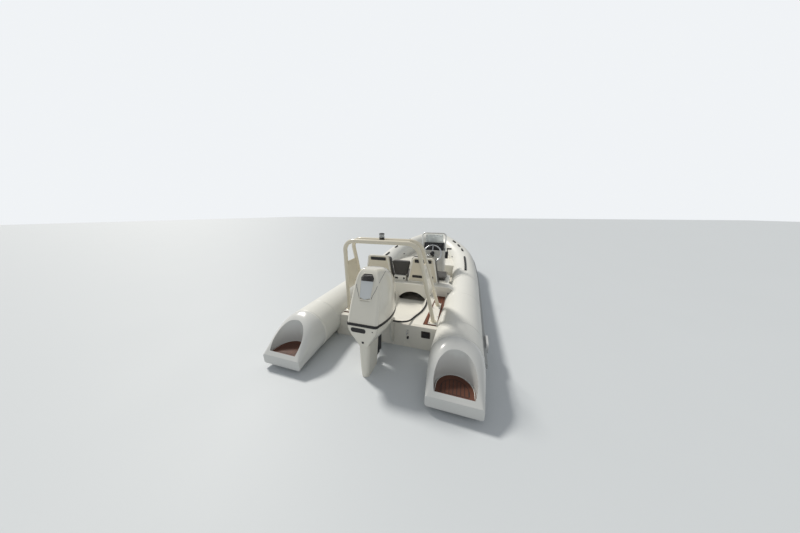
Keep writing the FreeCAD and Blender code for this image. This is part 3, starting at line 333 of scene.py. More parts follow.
# A dark plastic hatch, a black drain knob and two stainless towing eyes are screwed on the transom.
# The hatch has a raised frame and a recessed lid, and the knob has finger flutes.
stainless = finish(
    "stainless", screen(196, 198, 202), 0.18,
    mottle=0.06, patches=30, grain=0.06, fine=500, Metallic=1.0,
)
black_trim = finish("black_trim", screen(30, 30, 32), 0.42, mottle=0.10, grain=0.12, fine=700)


def black(piece, body="hull"):
    """The piece as black plastic trim."""
    return fitted(piece, body, black_trim)


hatch_brown = finish("hatch_brown", screen(44, 32, 30), 0.35, mottle=0.10, grain=0.10, fine=600)
dress(hatch_brown, "transom_hatch")
dress(stainless, "tow_eyes", "mooring_cleat", "bench_hinges", "bow_hinges")


def plate(name, outline, out, thick, lip=0.0):
    """A closed plate on an outline of points, standing off along out, with a chamfered face."""
    middle = sum(outline, Vector()) / len(outline)
    rows = [outline, [p + out * (thick - lip) for p in outline]]
    if lip:
        rows.append([p + out * thick + (middle - p).normalized() * lip for p in outline])
    faces = rings_joined(len(outline), len(rows))
    return smooth(from_faces(name, [p for row in rows for p in row], faces), 30)


def rounded_outline(middle, across, up, half_wide, half_high, corner, steps=6):
    """A rounded rectangle about a middle point, in the plane of two directions."""
    made = []
    for k, (sx, sy) in enumerate([(1, 1), (-1, 1), (-1, -1), (1, -1)]):
        for s in range(steps + 1):
            a = math.pi / 2 * (k + s / steps)
            x = sx * (half_wide - corner) + corner * math.cos(a)
            y = sy * (half_high - corner) + corner * math.sin(a)
            made.append(middle + across * x + up * y)
    return made


def merged(name, parts):
    """One mesh of several pieces, which are removed."""
    whole = bmesh.new()
    for part in parts:
        whole.from_mesh(part.data)
        bpy.data.objects.remove(part)
    mesh = bpy.data.meshes.new(name)
    whole.to_mesh(mesh)
    whole.free()
    return linked(name, mesh)


EAST, NORTH, UP = Vector((1, 0, 0)), Vector((0, 1, 0)), Vector((0, 0, 1))


def tablet(name, at, out, size, thick, lip, steps=6):
    """A plate on a rounded rectangle across the boat, with half its width, half its height and a corner."""
    return plate(name, rounded_outline(at, EAST, -EAST.cross(out), *size, steps), out, thick, lip)


transom_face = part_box("transom_hatch")[1].y
HATCH_SUNK = 0.0085
HATCH_AT = Vector((0.551, transom_face - HATCH_SUNK, 0.222))
HATCH_FRAME = (0.055, 0.044, 0.008)
HATCH_LID = (0.036, 0.029, 0.006)
HATCH_LID_THICK = 0.004
HATCH_PULL = (0.012, 0.005, 0.004)
lid_face = tablet("lid_face", HATCH_AT, -NORTH, HATCH_LID, HATCH_LID_THICK, 0.0015)
pull = tablet("pull", HATCH_AT - NORTH * HATCH_LID_THICK, -NORTH, HATCH_PULL, 0.004, 0.001)
frame_line = rounded_outline(HATCH_AT + NORTH * HATCH_SUNK, EAST, UP, *HATCH_FRAME)
rim = tube("rim", frame_line, 0.004, sides=8, closed=True)
black(merged("transom_hatch_lid", [lid_face, pull, rim]))
KNOB_AT = Vector((0.322, transom_face - 0.018, 0.150))
KNOB_R = 0.0148
FLUTE_DEEP = 0.0012
FLUTES = 9
KNOB_STEPS = 72
knob_line = []
for k in range(KNOB_STEPS):
    a = 2 * math.pi * k / KNOB_STEPS
    r = KNOB_R - FLUTE_DEEP * (0.5 + 0.5 * math.cos(FLUTES * a))
    knob_line.append(KNOB_AT + EAST * (r * math.cos(a)) + UP * (r * math.sin(a)))
black(plate("drain_knob", knob_line, -NORTH, 0.010, lip=0.002))


def screw_tree(name, material):
    """Button heads set on points, each turned to the way that its point faces."""
    tree = bpy.data.node_groups.new(name, "GeometryNodeTree")
    face = tree.interface
    face.new_socket("Geometry", in_out="INPUT", socket_type="NodeSocketGeometry")
    face.new_socket("Head radius", in_out="INPUT", socket_type="NodeSocketFloat")
    face.new_socket("Head height", in_out="INPUT", socket_type="NodeSocketFloat")
    face.new_socket("Geometry", in_out="OUTPUT", socket_type="NodeSocketGeometry")
    start, end = tree.nodes.new("NodeGroupInput"), tree.nodes.new("NodeGroupOutput")
    head = tree.nodes.new("GeometryNodeMeshCone")
    head.inputs["Vertices"].default_value = 14
    top = tree.nodes.new("ShaderNodeMath")
    top.operation = "MULTIPLY"
    top.inputs[1].default_value = 0.66
    facing = tree.nodes.new("GeometryNodeInputNamedAttribute")
    facing.data_type = "FLOAT_VECTOR"
    facing.inputs["Name"].default_value = "facing"
    turn = tree.nodes.new("FunctionNodeAlignRotationToVector")
    turn.axis = "Z"
    place = tree.nodes.new("GeometryNodeInstanceOnPoints")
    real = tree.nodes.new("GeometryNodeRealizeInstances")
    paint = tree.nodes.new("GeometryNodeSetMaterial")
    paint.inputs["Material"].default_value = material
    wired(
        tree,
        (start, "Geometry", place, "Points"),
        (start, "Head radius", head, "Radius Bottom"),
        (start, "Head radius", top, 0),
        (top, 0, head, "Radius Top"),
        (start, "Head height", head, "Depth"),
        (head, "Mesh", place, "Instance"),
        (facing, "Attribute", turn, "Vector"),
        (turn, "Rotation", place, "Rotation"),
        (place, "Instances", real, "Geometry"),
        (real, "Geometry", paint, "Geometry"),
        (paint, "Geometry", end, "Geometry"),
    )
    return tree


def screws(name, body, material, places, radius, height):
    """Screw heads at (point, facing) pairs, as one plain mesh."""
    mesh = bpy.data.meshes.new(name)
    mesh.from_pydata([tuple(p) for p, facing in places], [], [])
    ways = mesh.attributes.new("facing", "FLOAT_VECTOR", "POINT")
    for k, (p, facing) in enumerate(places):
        ways.data[k].vector = facing
    raw = linked(name, mesh)
    grow = raw.modifiers.new("heads", "NODES")
    grow.node_group = screw_tree(name + "_tree", material)
    sizes = {"Head radius": radius, "Head height": height}
    for socket in grow.node_group.interface.items_tree:
        if socket.name in sizes:
            grow[socket.identifier] = sizes[socket.name]
    return fitted(smooth(linked(name, baked(raw)), 50), body, material)


EYE_X, EYE_Z = 0.315, 0.230
eye_places = []
for side in (-1, 1):
    for dz in (-0.022, 0.022):
        for dx in (-0.011, 0.011):
            eye_places.append((Vector((side * EYE_X + dx, transom_face, EYE_Z + dz)), -NORTH))
screws("eye_screws", "hull", stainless, eye_places, 0.0042, 0.004)

# The collar is inflated tube of coated fabric, light grey and satin, glued along overlapped seams.
# It is pumped hard, so it stays round, and a band of tape covers each ring seam.
collar_fabric = finish(
    "collar_fabric", screen(217, 217, 211), 0.42, mottle=0.03, patches=3, grain=0.10, fine=900
)
dress(collar_fabric, *[n for n in nodes if n.startswith(("tube_side", "tube_bow"))])
TUBE_R = 0.275
TUBE_START = Vector((0.934, STERN + 0.430, 0.250))
TUBE_SPLAY = math.radians(2.4)
SEAM_PLACES = (0.012, 0.30, 1.18, 2.15)
SEAM_WIDE = 0.036
SEAM_PROUD = 0.0026
SEAM_SUNK = 0.0002
SEAM_SIDES = 96
SEAM_PROFILE = [(0, 0), (0.003, SEAM_PROUD), (SEAM_WIDE - 0.003, SEAM_PROUD), (SEAM_WIDE, 0)]
tube_run = Vector((math.sin(TUBE_SPLAY), math.cos(TUBE_SPLAY), 0))
tube_across = Vector((tube_run.y, -tube_run.x, 0))


def seam_band(along):
    """A thin ring of tape round the straight part of the starboard tube."""
    start = TUBE_START + tube_run * along
    points = []
    for out in circle(Vector(), tube_across, UP, 1, SEAM_SIDES):
        points += [start + tube_run * y + out * (TUBE_R + proud - SEAM_SUNK) for y, proud in SEAM_PROFILE]
    return smooth(from_faces("band", points, rings_joined(len(SEAM_PROFILE), SEAM_SIDES, True)), 60)


def mirrored(piece):
    """The same piece on the other side of the boat."""
    twin = linked(piece.name + "_twin", piece.data.copy())
    twin.data.transform(Matrix.Scale(-1, 4, EAST))
    return smooth(twin, 50)


bands = [seam_band(y) for y in SEAM_PLACES]
bands += [mirrored(b) for b in bands]
fitted(merged("collar_seam_bands", bands), "hull", collar_fabric)

# Each tube ends in a glossy moulded cap, let into which is a half-round step pocket.
# A grey rubber strake runs along the outside, with webbing loops, and handles are glued on top.
# The handles are black mouldings, and so is the valve that is screwed in each bow tube.
cap_gloss = finish(
    "cap_gloss", screen(207, 208, 205), 0.24,
    mottle=0.03, patches=4, grain=0.04, fine=200, Coat_Weight=0.3,
)
dress(cap_gloss, "tube_end_port", "tube_end_starboard")
strake_grey = finish("strake_grey", screen(160, 162, 162), 0.5, mottle=0.06, grain=0.2, fine=260)
dress(strake_grey, "rub_strake_port", "rub_strake_starboard")
holder_grey = finish("holder_grey", screen(190, 191, 190), 0.55, mottle=0.06, grain=0.3, fine=420)
dress(holder_grey, "strake_holders")
handle_black = finish("handle_black", screen(26, 27, 29), 0.6, mottle=0.12, grain=0.35, fine=380)
dress(handle_black, "tube_handles")


def turned(name, centre, axis, profile, sides=40):
    """A round piece about an axis, from a profile of radii and heights along it."""
    axis = axis.normalized()
    side = axis.orthogonal().normalized()
    up = axis.cross(side)
    points = []
    for r, z in profile:
        points += circle(centre + axis * z, side, up, max(r, 1e-5), sides)
    return smooth(from_faces(name, points, rings_joined(sides, len(profile))), 32)


VALVE = [(0.030, -0.004), (0.030, 0.003), (0.027, 0.005), (0.021, 0.0055), (0.019, 0.004), (0.0, 0.004)]
VALVE_AT = Vector((-0.7027, 1.6523, 0.5317))
valve_out = Vector((0.42, -0.10, 0.90)).normalized()
port_valve = turned("valve", VALVE_AT, valve_out, VALVE, 28)
black(merged("collar_valves", [mirrored(port_valve), port_valve]))

# The pads in the step pockets and on the after deck are teak-coloured closed foam.
# They are cut in fore-and-aft planks with dark seams, and a bent border follows each pocket's edge.
PLANK = 0.034
CAULK = 0.005
SEAM_BLACK = screen(26, 20, 18)
PAD_MIDDLE = (0.934, STERN + 0.107)
BORDER_IN = 0.128
BORDER_AFT = STERN + 0.068


def planked(name, wood, border):
    """Teak foam with seams cut through it, and with a bent border band where there is one."""
    made = finish(name, wood, 0.62, mottle=0.16, patches=9, grain=0.35, fine=260)
    tree = made.node_tree
    shader = tree.nodes["Principled BSDF"]
    place = tree.nodes.new("ShaderNodeTexCoord")
    split = tree.nodes.new("ShaderNodeSeparateXYZ")

    def worked(how, *values):
        """One step of arithmetic on sockets or plain numbers."""
        step = tree.nodes.new("ShaderNodeMath")
        step.operation = how
        for socket, value in zip(step.inputs, values):
            if isinstance(value, (int, float)):
                socket.default_value = value
            else:
                tree.links.new(value, socket)
        return step.outputs[0]

    along = split.outputs["Y"]
    wide = worked("ABSOLUTE", split.outputs["X"])
    row = worked("DIVIDE", wide, PLANK)
    line = worked("LESS_THAN", worked("FRACT", row), CAULK / PLANK)
    if border:
        dx = worked("SUBTRACT", wide, PAD_MIDDLE[0])
        dy = worked("SUBTRACT", along, PAD_MIDDLE[1])
        reach = worked("SQRT", worked("ADD", worked("POWER", dx, 2), worked("POWER", dy, 2)))
        inside = worked("LESS_THAN", reach, BORDER_IN)
        fore = worked("GREATER_THAN", along, BORDER_AFT)
        edge = worked("MULTIPLY", worked("COMPARE", reach, BORDER_IN, CAULK / 2), fore)
        aft_edge = worked("MULTIPLY", worked("COMPARE", along, BORDER_AFT, CAULK / 2), inside)
        line = worked("MULTIPLY", worked("MULTIPLY", line, inside), fore)
        line = worked("MAXIMUM", line, worked("MAXIMUM", edge, aft_edge))
    stretch = tree.nodes.new("ShaderNodeMapping")
    stretch.inputs["Scale"].default_value = (90, 5, 40)
    figure = tree.nodes.new("ShaderNodeTexNoise")
    figure.inputs["Scale"].default_value = 1.6
    figure.inputs["Detail"].default_value = 6
    board = tree.nodes.new("ShaderNodeTexWhiteNoise")
    board.noise_dimensions = "1D"
    tree.links.new(worked("FLOOR", row), board.inputs["W"])
    figured = worked("MULTIPLY", figure.outputs["Fac"], 0.6)
    shade = worked("MULTIPLY_ADD", board.outputs["Value"], 0.5, figured)
    lit = tree.nodes.new("ShaderNodeMix")
    lit.data_type = "RGBA"
    lit.inputs["A"].default_value = shaded(wood, 0.70)
    lit.inputs["B"].default_value = shaded(wood, 1.30)
    tree.links.new(shade, lit.inputs["Factor"])
    cut = tree.nodes.new("ShaderNodeMix")
    cut.data_type = "RGBA"
    cut.inputs["B"].default_value = SEAM_BLACK
    tree.links.new(line, cut.inputs["Factor"])
    groove = tree.nodes.new("ShaderNodeBump")
    groove.inputs["Strength"].default_value = 0.8
    groove.inputs["Distance"].default_value = 0.0015
    tree.links.new(worked("SUBTRACT", 1.0, line), groove.inputs["Height"])
    wired(
        tree,
        (place, "Object", split, 0),
        (place, "Object", stretch, "Vector"),
        (stretch, "Vector", figure, "Vector"),
        (lit, "Result", cut, "A"),
        (cut, "Result", shader, "Base Color"),
        (tree.nodes["grain"], "Normal", groove, "Normal"),
        (groove, "Normal", shader, "Normal"),
    )
    return made


dress(planked("teak_pocket", screen(86, 47, 29), True), "end_pads")
POCKET_HALF = 0.1725
POCKET_AFT, POCKET_ROUND = STERN + 0.0345, STERN + 0.122
POCKET_STEPS = 24
RIM_Z = 0.176
half_turn = [math.pi * k / POCKET_STEPS for k in range(POCKET_STEPS + 1)]
pocket = [(POCKET_HALF * math.cos(a), POCKET_ROUND + POCKET_HALF * math.sin(a)) for a in half_turn]
pocket += [(x, POCKET_AFT) for x in (-POCKET_HALF, 0, POCKET_HALF)]
pocket_line = [Vector((PAD_MIDDLE[0] + x, y, RIM_Z)) for x, y in pocket]
pad_rim = tube("pad_rim", pocket_line, 0.0055, sides=10, closed=True)
fitted(merged("step_pad_rims", [mirrored(pad_rim), pad_rim]), "hull", cap_gloss)
dress(planked("teak_deck", screen(100, 53, 31), False), "side_pads")

# The after deck, drain well, bench, sole and lockers are moulded white laminate, gel-coated.
# Edges are rounded by the mould, and the sole has a fine non-slip grain.
deck_gel = finish(
    "deck_gel", screen(226, 224, 215), 0.30,
    mottle=0.03, patches=3, grain=0.04, fine=90, Coat_Weight=0.25,
)
dress(deck_gel, "aft_deck")
sole_gel = finish("sole_gel", screen(206, 203, 194), 0.55, mottle=0.05, patches=5, grain=0.7, fine=240)
dress(sole_gel, "sole_panel")
rim_white = finish("rim_white", screen(234, 232, 224), 0.30, mottle=0.03, grain=0.04, Coat_Weight=0.25)
bench_moulding = softened("bench_moulding", "bench", 0.012, deck_gel)
# The faces inside the bench's stowage space get a near-black finish, which is painted shade in the space
# under the bench.
bench_moulding.data.materials.append(finish("stowage_painted_shade", screen(40, 40, 41), 0.7, mottle=0.15, grain=0.4))
STOWAGE_Y = (STERN + 1.880, STERN + 2.520)
STOWAGE_TOP = 0.490
STOWAGE_X = 0.732
for face in bench_moulding.data.polygons:
    x, y, z = face.center
    in_painted_shade = STOWAGE_Y[0] < y < STOWAGE_Y[1] and z < STOWAGE_TOP and abs(x) < STOWAGE_X
    face.material_index = 1 if in_painted_shade else 0
BENCH_HALF, BENCH_AFT, BENCH_TOP = 0.728, STERN + 1.852, 0.494
roll = [Vector((BENCH_HALF * k / 24, BENCH_AFT, BENCH_TOP)) for k in range(-24, 25)]
fitted(tube("bench_edge_roll", roll, 0.0095, sides=14), "hull", rim_white)
softened("bow_locker_moulding", "bow_locker", 0.012, deck_gel)
softened("bench_lid_moulding", "bench_lid", 0.003, deck_gel)
softened("bow_lid_moulding", "bow_lid", 0.004, deck_gel)

# The arch is bent from cream painted tube, with flat panels welded between its hoops.
# Each foot is welded in a flange on a cream foot plate, which is bolted through the deck.
arch_cream = finish(
    "arch_cream", screen(216, 209, 190), 0.25,
    mottle=0.04, patches=5, grain=0.03, fine=260, Coat_Weight=0.4,
)
dress(arch_cream, "arch_hoop_aft", "arch_hoop_fore", "arch_side_panels", "arch_top_panel")
plate_cream = finish("plate_cream", screen(222, 220, 212), 0.32, mottle=0.05, grain=0.05, fine=200)
softened("foot_plate_castings", "foot_plates", 0.004, plate_cream)
FOOT_X, TOP_X = 0.622, 0.445
FOOT_Z, TOP_Z = 0.338, 1.400
HOOP_FEET = ((0.965, 0.690), (1.470, 0.865))
FLANGE = [(0.046, 0.0), (0.046, 0.004), (0.042, 0.006), (0.033, 0.008), (0.0285, 0.013), (0.0262, 0.020)]
flanges = []
for side in (-1, 1):
    for foot_y, top_y in HOOP_FEET:
        foot = Vector((side * FOOT_X, STERN + foot_y, FOOT_Z))
        lean = (Vector((side * TOP_X, STERN + top_y, TOP_Z)) - foot).normalized()
        flange = turned("flange", foot, UP, FLANGE, 40)
        for v in flange.data.vertices:
            rise = v.co.z - FOOT_Z
            v.co.x += lean.x / lean.z * rise
            v.co.y += lean.y / lean.z * rise
        flanges.append(flange)
fitted(merged("hoop_flanges", flanges), "hull", arch_cream)
PLATE_BOLTS = [(x, y) for x in (0.574, 0.658) for y in (0.920, 1.100, 1.350, 1.530)]
BOLT_Z = FOOT_Z + 0.0025
bolt_places = [(Vector((side * x, STERN + y, BOLT_Z)), UP) for side in (-1, 1) for x, y in PLATE_BOLTS]
screws("foot_plate_bolts", "hull", stainless, bolt_places, 0.0075, 0.005)

# The all-round light on top of the arch has a black foot, a ribbed clear lens and a black cap.
# Its lens is moulded with rings that spread the lamp's light level.
LIGHT_AT = Vector((0, STERN + 0.7775, 1.406))
lens_clear = finish(
    "lens_clear", screen(226, 230, 232), 0.10, mottle=0.02, grain=0.02, Transmission_Weight=0.6, IOR=1.45
)
LIGHT_FOOT = [(0.033, 0), (0.033, 0.006), (0.0315, 0.009), (0.0305, 0.03), (0.0325, 0.034), (0.031, 0.037)]
LIGHT_CAP = [(0.031, 0.0736), (0.0328, 0.076), (0.0328, 0.079), (0.029, 0.084), (0.018, 0.0872), (0, 0.088)]
LENS_RINGS = 9
LENS_RING_TALL = 0.0042
lens_rings = []
for k in range(LENS_RINGS):
    z = 0.036 + k * LENS_RING_TALL
    lens_rings += [(0.0285, z), (0.0305, z + 0.0012), (0.0305, z + 0.0030)]
light_low = turned("light_low", LIGHT_AT, UP, LIGHT_FOOT)
lens = turned("light_lens", LIGHT_AT, UP, lens_rings + [(0.0285, 0.0738)])
light_top = turned("light_top", LIGHT_AT, UP, LIGHT_CAP)
light = fitted(merged("all_round_light", [light_low, light_top]), "hull", black_trim)
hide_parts("nav_light")
fitted(lens, "hull", lens_clear)

# Two bucket seats have cream moulded shells with a rolled white edge and cut slots.
# Behind them, padded backs of charcoal leathercloth are upholstered on, with piped edges.
shell_cream = finish(
    "shell_cream", screen(216, 209, 190), 0.34,
    mottle=0.04, patches=5, grain=0.06, fine=300, Coat_Weight=0.2,
)
dress(shell_cream, "seat_shell_port", "seat_shell_starboard")
charcoal = finish(
    "charcoal", screen(64, 62, 59), 0.58,
    mottle=0.10, patches=14, grain=0.45, fine=520, Sheen_Weight=0.12,
)
piping_grey = finish("piping_grey", screen(88, 86, 82), 0.5, mottle=0.08, grain=0.3, fine=600)
SEATS = {"starboard": 0.285, "port": -0.560}
HALF_LOW, HALF_TOP = 0.270, 0.198
SEAT_LOW, SEAT_HIGH = 0.500, 0.955
SHELL_BACK = STERN + 1.960
SEAT_CORNER = 0.07
CORNER_STEPS = 8


def seat_line(centre, low, top, z0, z1, y):
    """The outline of a seat back from half widths, narrower at the top, with round top corners."""
    points = [Vector((centre + low, y, z0))]
    for quarter, side in enumerate((1, -1)):
        middle = Vector((centre + side * (top - SEAT_CORNER), y, z1 - SEAT_CORNER))
        for s in range(CORNER_STEPS + 1):
            a = math.pi / 2 * (quarter + s / CORNER_STEPS)
            points.append(middle + Vector((math.cos(a), 0, math.sin(a))) * SEAT_CORNER)
    points.append(Vector((centre - low, y, z0)))
    return points


def filled_in(points, gap, closed=True):
    """More points on a line, so that a tube along it bends evenly."""
    found = []
    ends = points[1:] + points[:1] if closed else points[1:]
    for a, b in zip(points, ends):
        count = max(1, round((b - a).length / gap))
        found += [a + (b - a) * (k / count) for k in range(count)]
    return found if closed else found + [points[-1]]


RIM_IN = 0.006
for side, centre in SEATS.items():
    half_low, half_top = HALF_LOW - RIM_IN, HALF_TOP - RIM_IN
    line = seat_line(centre, half_low, half_top, SEAT_LOW + 2 * RIM_IN, SEAT_HIGH - RIM_IN, SHELL_BACK)
    rim = tube("seat_rim_" + side, filled_in(line, 0.02), 0.0105, sides=12, closed=True)
    fitted(rim, "hull", rim_white)
TRIM_Y = SHELL_BACK + 0.0005
SEAT_SLOTS = ((0.392, 0.150, 0.030), (0.109, 0.190, 0.024))
trims = []
for centre in SEATS.values():
    for height, half, tall in SEAT_SLOTS:
        at = Vector((centre, TRIM_Y, SEAT_LOW + height))
        trims.append(tablet("trim", at, -NORTH, (half, tall, 0.012), 0.0035, 0.0012))
fitted(merged("seat_slot_trims", trims), "hull", black_trim)
BOX_X = (-0.252, -0.024)
BOX_Y = (SHELL_BACK, STERN + 2.082)
BOX_Z = (0.500, 0.600)
BOX_ROUND = 0.014
box_places = [(x, y, z) for z in BOX_Z for y in BOX_Y for x in BOX_X]
box_faces = [(0, 1, 3, 2), (4, 6, 7, 5), (0, 4, 5, 1), (2, 3, 7, 6), (0, 2, 6, 4), (1, 5, 7, 3)]
infill = from_faces("infill", box_places, box_faces)
rounding = infill.modifiers.new("rounding", "BEVEL")
rounding.width = BOX_ROUND
rounding.segments = 4
box_piece = smooth(linked("middle_box_moulding", baked(infill)), 30)
fitted(box_piece, "hull", deck_gel)
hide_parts("middle_box")
box_slots = []
for x, half in ((-0.205, 0.030), (-0.060, 0.016)):
    box_slots.append(tablet("slot", Vector((x, TRIM_Y, 0.552)), -NORTH, (half, 0.017, 0.006), 0.003, 0.001))
black(merged("middle_box_slots", box_slots))
BLOWN_FRAMES = 20


def stuffed(name, node, body, shape, voxel, pressure, reach, shrink, fill):
    """A cushion blown up from a slightly smaller copy of its CAD solid, and then given its sewn shape."""
    form = solid_of(node)
    mesh = bpy.data.meshes.new(name)
    form.to_mesh(mesh)
    form.free()
    low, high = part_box(node)
    middle, half = (low + high) / 2, (high - low) / 2
    for v in mesh.vertices:
        for k in range(3):
            v.co[k] = middle[k] + (v.co[k] - middle[k]) * (1 - shrink / half[k])
    piece = linked(name, mesh)
    grid = piece.modifiers.new("grid", "REMESH")
    grid.mode = "VOXEL"
    grid.voxel_size = voxel
    even = piece.modifiers.new("even", "SMOOTH")
    even.factor = 0.5
    even.iterations = 3
    piece = linked(name, baked(piece))
    start = [v.co.copy() for v in piece.data.vertices]
    cloth = piece.modifiers.new("air", "CLOTH")
    cloth.settings.use_pressure = True
    cloth.settings.uniform_pressure_force = pressure
    cloth.settings.effector_weights.gravity = 0
    cloth.settings.quality = 5
    cloth.point_cache.frame_start = 1
    cloth.point_cache.frame_end = BLOWN_FRAMES
    for n in range(BLOWN_FRAMES):
        scene.frame_set(n + 1)
    piece = linked(name, baked(piece))
    scene.frame_set(1)
    for v, first in zip(piece.data.vertices, start):
        move = v.co - first
        if move.length > reach:
            v.co = first + move.normalized() * reach
    finer = piece.modifiers.new("finer", "SUBSURF")
    finer.levels = finer.render_levels = 1
    piece = linked(name, baked(piece))
    for v in piece.data.vertices:
        shape(v.co, low, high)
    piece.data.shade_smooth()
    fitted(piece, body, charcoal)
    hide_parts(node)
    return piece


def risen(value, start, width):
    """A share that rises from 0 at the start to 1 over a width."""
    return max(0.0, min(1.0, (value - start) / width))


def sewn(at, place, wide, deep):
    """How far a sewn channel pulls the cover in, at a distance from its stitches."""
    away = abs(at - place)
    return deep * math.exp(-((away / wide) ** 2))


BACK_CHANNELS = (0.16, 0.29)
CHANNEL_FADE = 0.02
BOLSTER = 0.045
TAPER = 0.26


def back_shape(p, low, high):
    """Channels across the front."""
    front = risen(p.y, (low.y + high.y) / 2, CHANNEL_FADE)
    for z in BACK_CHANNELS:
        p.y -= front * sewn(p.z, low.z + z, 0.012, 0.007)


def back_flat(p, low):
    """Nothing swells out behind or below."""
    p.y = max(p.y, low.y)
    p.z = max(p.z, low.z)


def seat_shape(p, low, high):
    """Channels, and side bolsters that swell forward above the height that the opening lid needs."""
    back_shape(p, low, high)
    half = (high.x - low.x) / 2 * (1 - TAPER * (p.z - low.z) / (high.z - low.z))
    aside = risen(abs(p.x - (low.x + high.x) / 2) / half, 0.55, 0.25)
    p.y += BOLSTER * aside * risen(p.y - low.y, 0.03, 0.05) * risen(p.z - low.z, 0.10, 0.20)
    back_flat(p, low)


def piped(name, line, radius, body, gap=0.012):
    """A cord of piping along a closed seam."""
    cord = tube(name, filled_in(line, gap), radius, sides=8, closed=True)
    return fitted(cord, body, piping_grey)


for side, centre in SEATS.items():
    pad = "seat_pad_" + side
    blown = {"voxel": 0.007, "pressure": 4, "reach": 0.010, "shrink": 0.007, "fill": 0.7}
    stuffed("seat_back_" + side, pad, "hull", seat_shape, **blown)
    low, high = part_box(pad)
    half_low, half_top = high.x - centre - 0.007, HALF_TOP + 0.021
    seam = seat_line(centre, half_low, half_top, low.z + 0.014, high.z - 0.006, high.y - 0.016)
    piped("seat_piping_" + side, seam, 0.0035, "hull")
MIDDLE_HALF = (0.112, 0.172)
MIDDLE_ASIDE = -0.003


def middle_shape(p, low, high):
    """The infill widens upwards as the gap between the seats does."""
    back_shape(p, low, high)
    rise = (p.z - low.z) / (high.z - low.z)
    half = MIDDLE_HALF[0] + (MIDDLE_HALF[1] - MIDDLE_HALF[0]) * rise
    middle = (low.x + high.x) / 2
    p.x = middle + MIDDLE_ASIDE + (p.x - middle) * half / ((high.x - low.x) / 2)
    back_flat(p, low)


blown = {"voxel": 0.006, "pressure": 3, "reach": 0.005, "shrink": 0.004, "fill": 0.7}
stuffed("middle_cushion", "middle_pad", "hull", middle_shape, **blown)

# The bench and bow lids carry cushions of the same charcoal leathercloth, fixed on them.
# Each is foam in a sewn box cover, piped along its upper seam, with channels stitched across.
BENCH_CHANNELS = (-0.345, 0.0, 0.345)
LAID_GAP = 0.002


def laid_shape(p, low, high, channels):
    """Channels across the top, and a flat underside and after end."""
    top = risen(p.z, (low.z + high.z) / 2, CHANNEL_FADE)
    for x in channels:
        p.z -= top * sewn(p.x, x, 0.014, 0.010)
    p.z = max(p.z, low.z)
    p.y = max(p.y, low.y + LAID_GAP)


def bench_shape(p, low, high):
    laid_shape(p, low, high, BENCH_CHANNELS)


def bow_shape(p, low, high):
    laid_shape(p, low, high, (0.0,))


def box_piping(name, node, body, down):
    """Piping round a cushion's top seam, at a depth under its top."""
    low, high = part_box(node)
    middle = (low + high) / 2
    middle.z = high.z - down
    half = (high - low) / 2
    line = rounded_outline(middle, EAST, NORTH, half.x - 0.004, half.y - 0.004, 0.05)
    return piped(name, line, 0.004, body, 0.02)


blown = {"voxel": 0.010, "pressure": 4, "reach": 0.013, "shrink": 0.008, "fill": 0.75}
stuffed("bench_seat_cushion", "bench_cushion", "bench_lid", bench_shape, **blown)
box_piping("bench_piping", "bench_cushion", "bench_lid", 0.014)
blown = {"voxel": 0.009, "pressure": 4, "reach": 0.011, "shrink": 0.007, "fill": 0.75}
stuffed("bow_seat_cushion", "bow_cushion", "bow_lid", bow_shape, **blown)
box_piping("bow_piping", "bow_cushion", "bow_lid", 0.013)

# The console is a light grey moulding with a black instrument face, a stainless rail and a clear screen.
# Its dials have bezels, ticks and needles, and below them stands a row of rocker switches.
console_gel = finish(
    "console_gel", screen(214, 213, 207), 0.30,
    mottle=0.03, patches=4, grain=0.05, fine=160, Coat_Weight=0.2,
)
softened("console_moulding", "console", 0.010, console_gel)
dash_black = finish("dash_black", screen(28, 28, 31), 0.38, mottle=0.10, grain=0.30, fine=420)
softened("dash_moulding", "dash", 0.006, dash_black)
rail_bright = finish(
    "rail_bright", screen(236, 236, 233), 0.30,
    mottle=0.04, patches=30, grain=0.04, fine=500, Metallic=0.8,
)
dress(rail_bright, "console_rail")
screen_clear = finish(
    "screen_clear", screen(240, 245, 246), 0.12, mottle=0.02, grain=0.02, Transmission_Weight=0.62, IOR=1.49
)
dress(screen_clear, "windscreen")
surfaces = {}


def found_on(node, start, way):
    """The point of a node's surface that a line meets first, and the way that it faces, against the line."""
    if node not in surfaces:
        mesh = nodes[node].data
        points = [v.co.copy() for v in mesh.vertices]
        surfaces[node] = BVHTree.FromPolygons(points, [tuple(f.vertices) for f in mesh.polygons])
    point, facing = surfaces[node].ray_cast(start, way)[:2]
    return point, facing if facing.dot(way) < 0 else -facing


dash_low, dash_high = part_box("dash")
CONSOLE_X = 0.345
DIALS = ((-0.125, 0.036, 0.046), (-0.030, 0.036, 0.046), (0.070, 0.040, 0.028), (0.138, 0.040, 0.028))
BEZEL = [(1.0, 0.0), (1.0, 0.10), (0.94, 0.16), (0.88, 0.12), (0.84, 0.06), (0.0, 0.05)]
TICK = ((0.60, 0.0008), (0.76, 0.0008))
HAND = ((-0.14, 0.0014), (0.62, 0.0006))
HAND_TURN = 70
TICK_TURNS = range(-40, 221, 26)


def on_dash(x, z):
    """The point of the instrument face at a place beside the console's middle, and the way it faces."""
    return found_on("dash", Vector((CONSOLE_X + x, dash_low.y - 0.2, z)), NORTH)


def dial_mark(at, facing, radius, degrees, ends, thick):
    """A thin bar on a dial, between two ends that each have a share of its radius and a half width."""
    a = math.radians(degrees)
    ray = -EAST.cross(facing) * math.sin(a) - EAST * math.cos(a)
    (near, near_half), (far, far_half) = ends
    corners = ((near, -near_half), (far, -far_half), (far, far_half), (near, near_half))
    line = [at + ray * radius * share + ray.cross(facing) * half for share, half in corners]
    return plate("mark", line, facing, thick)


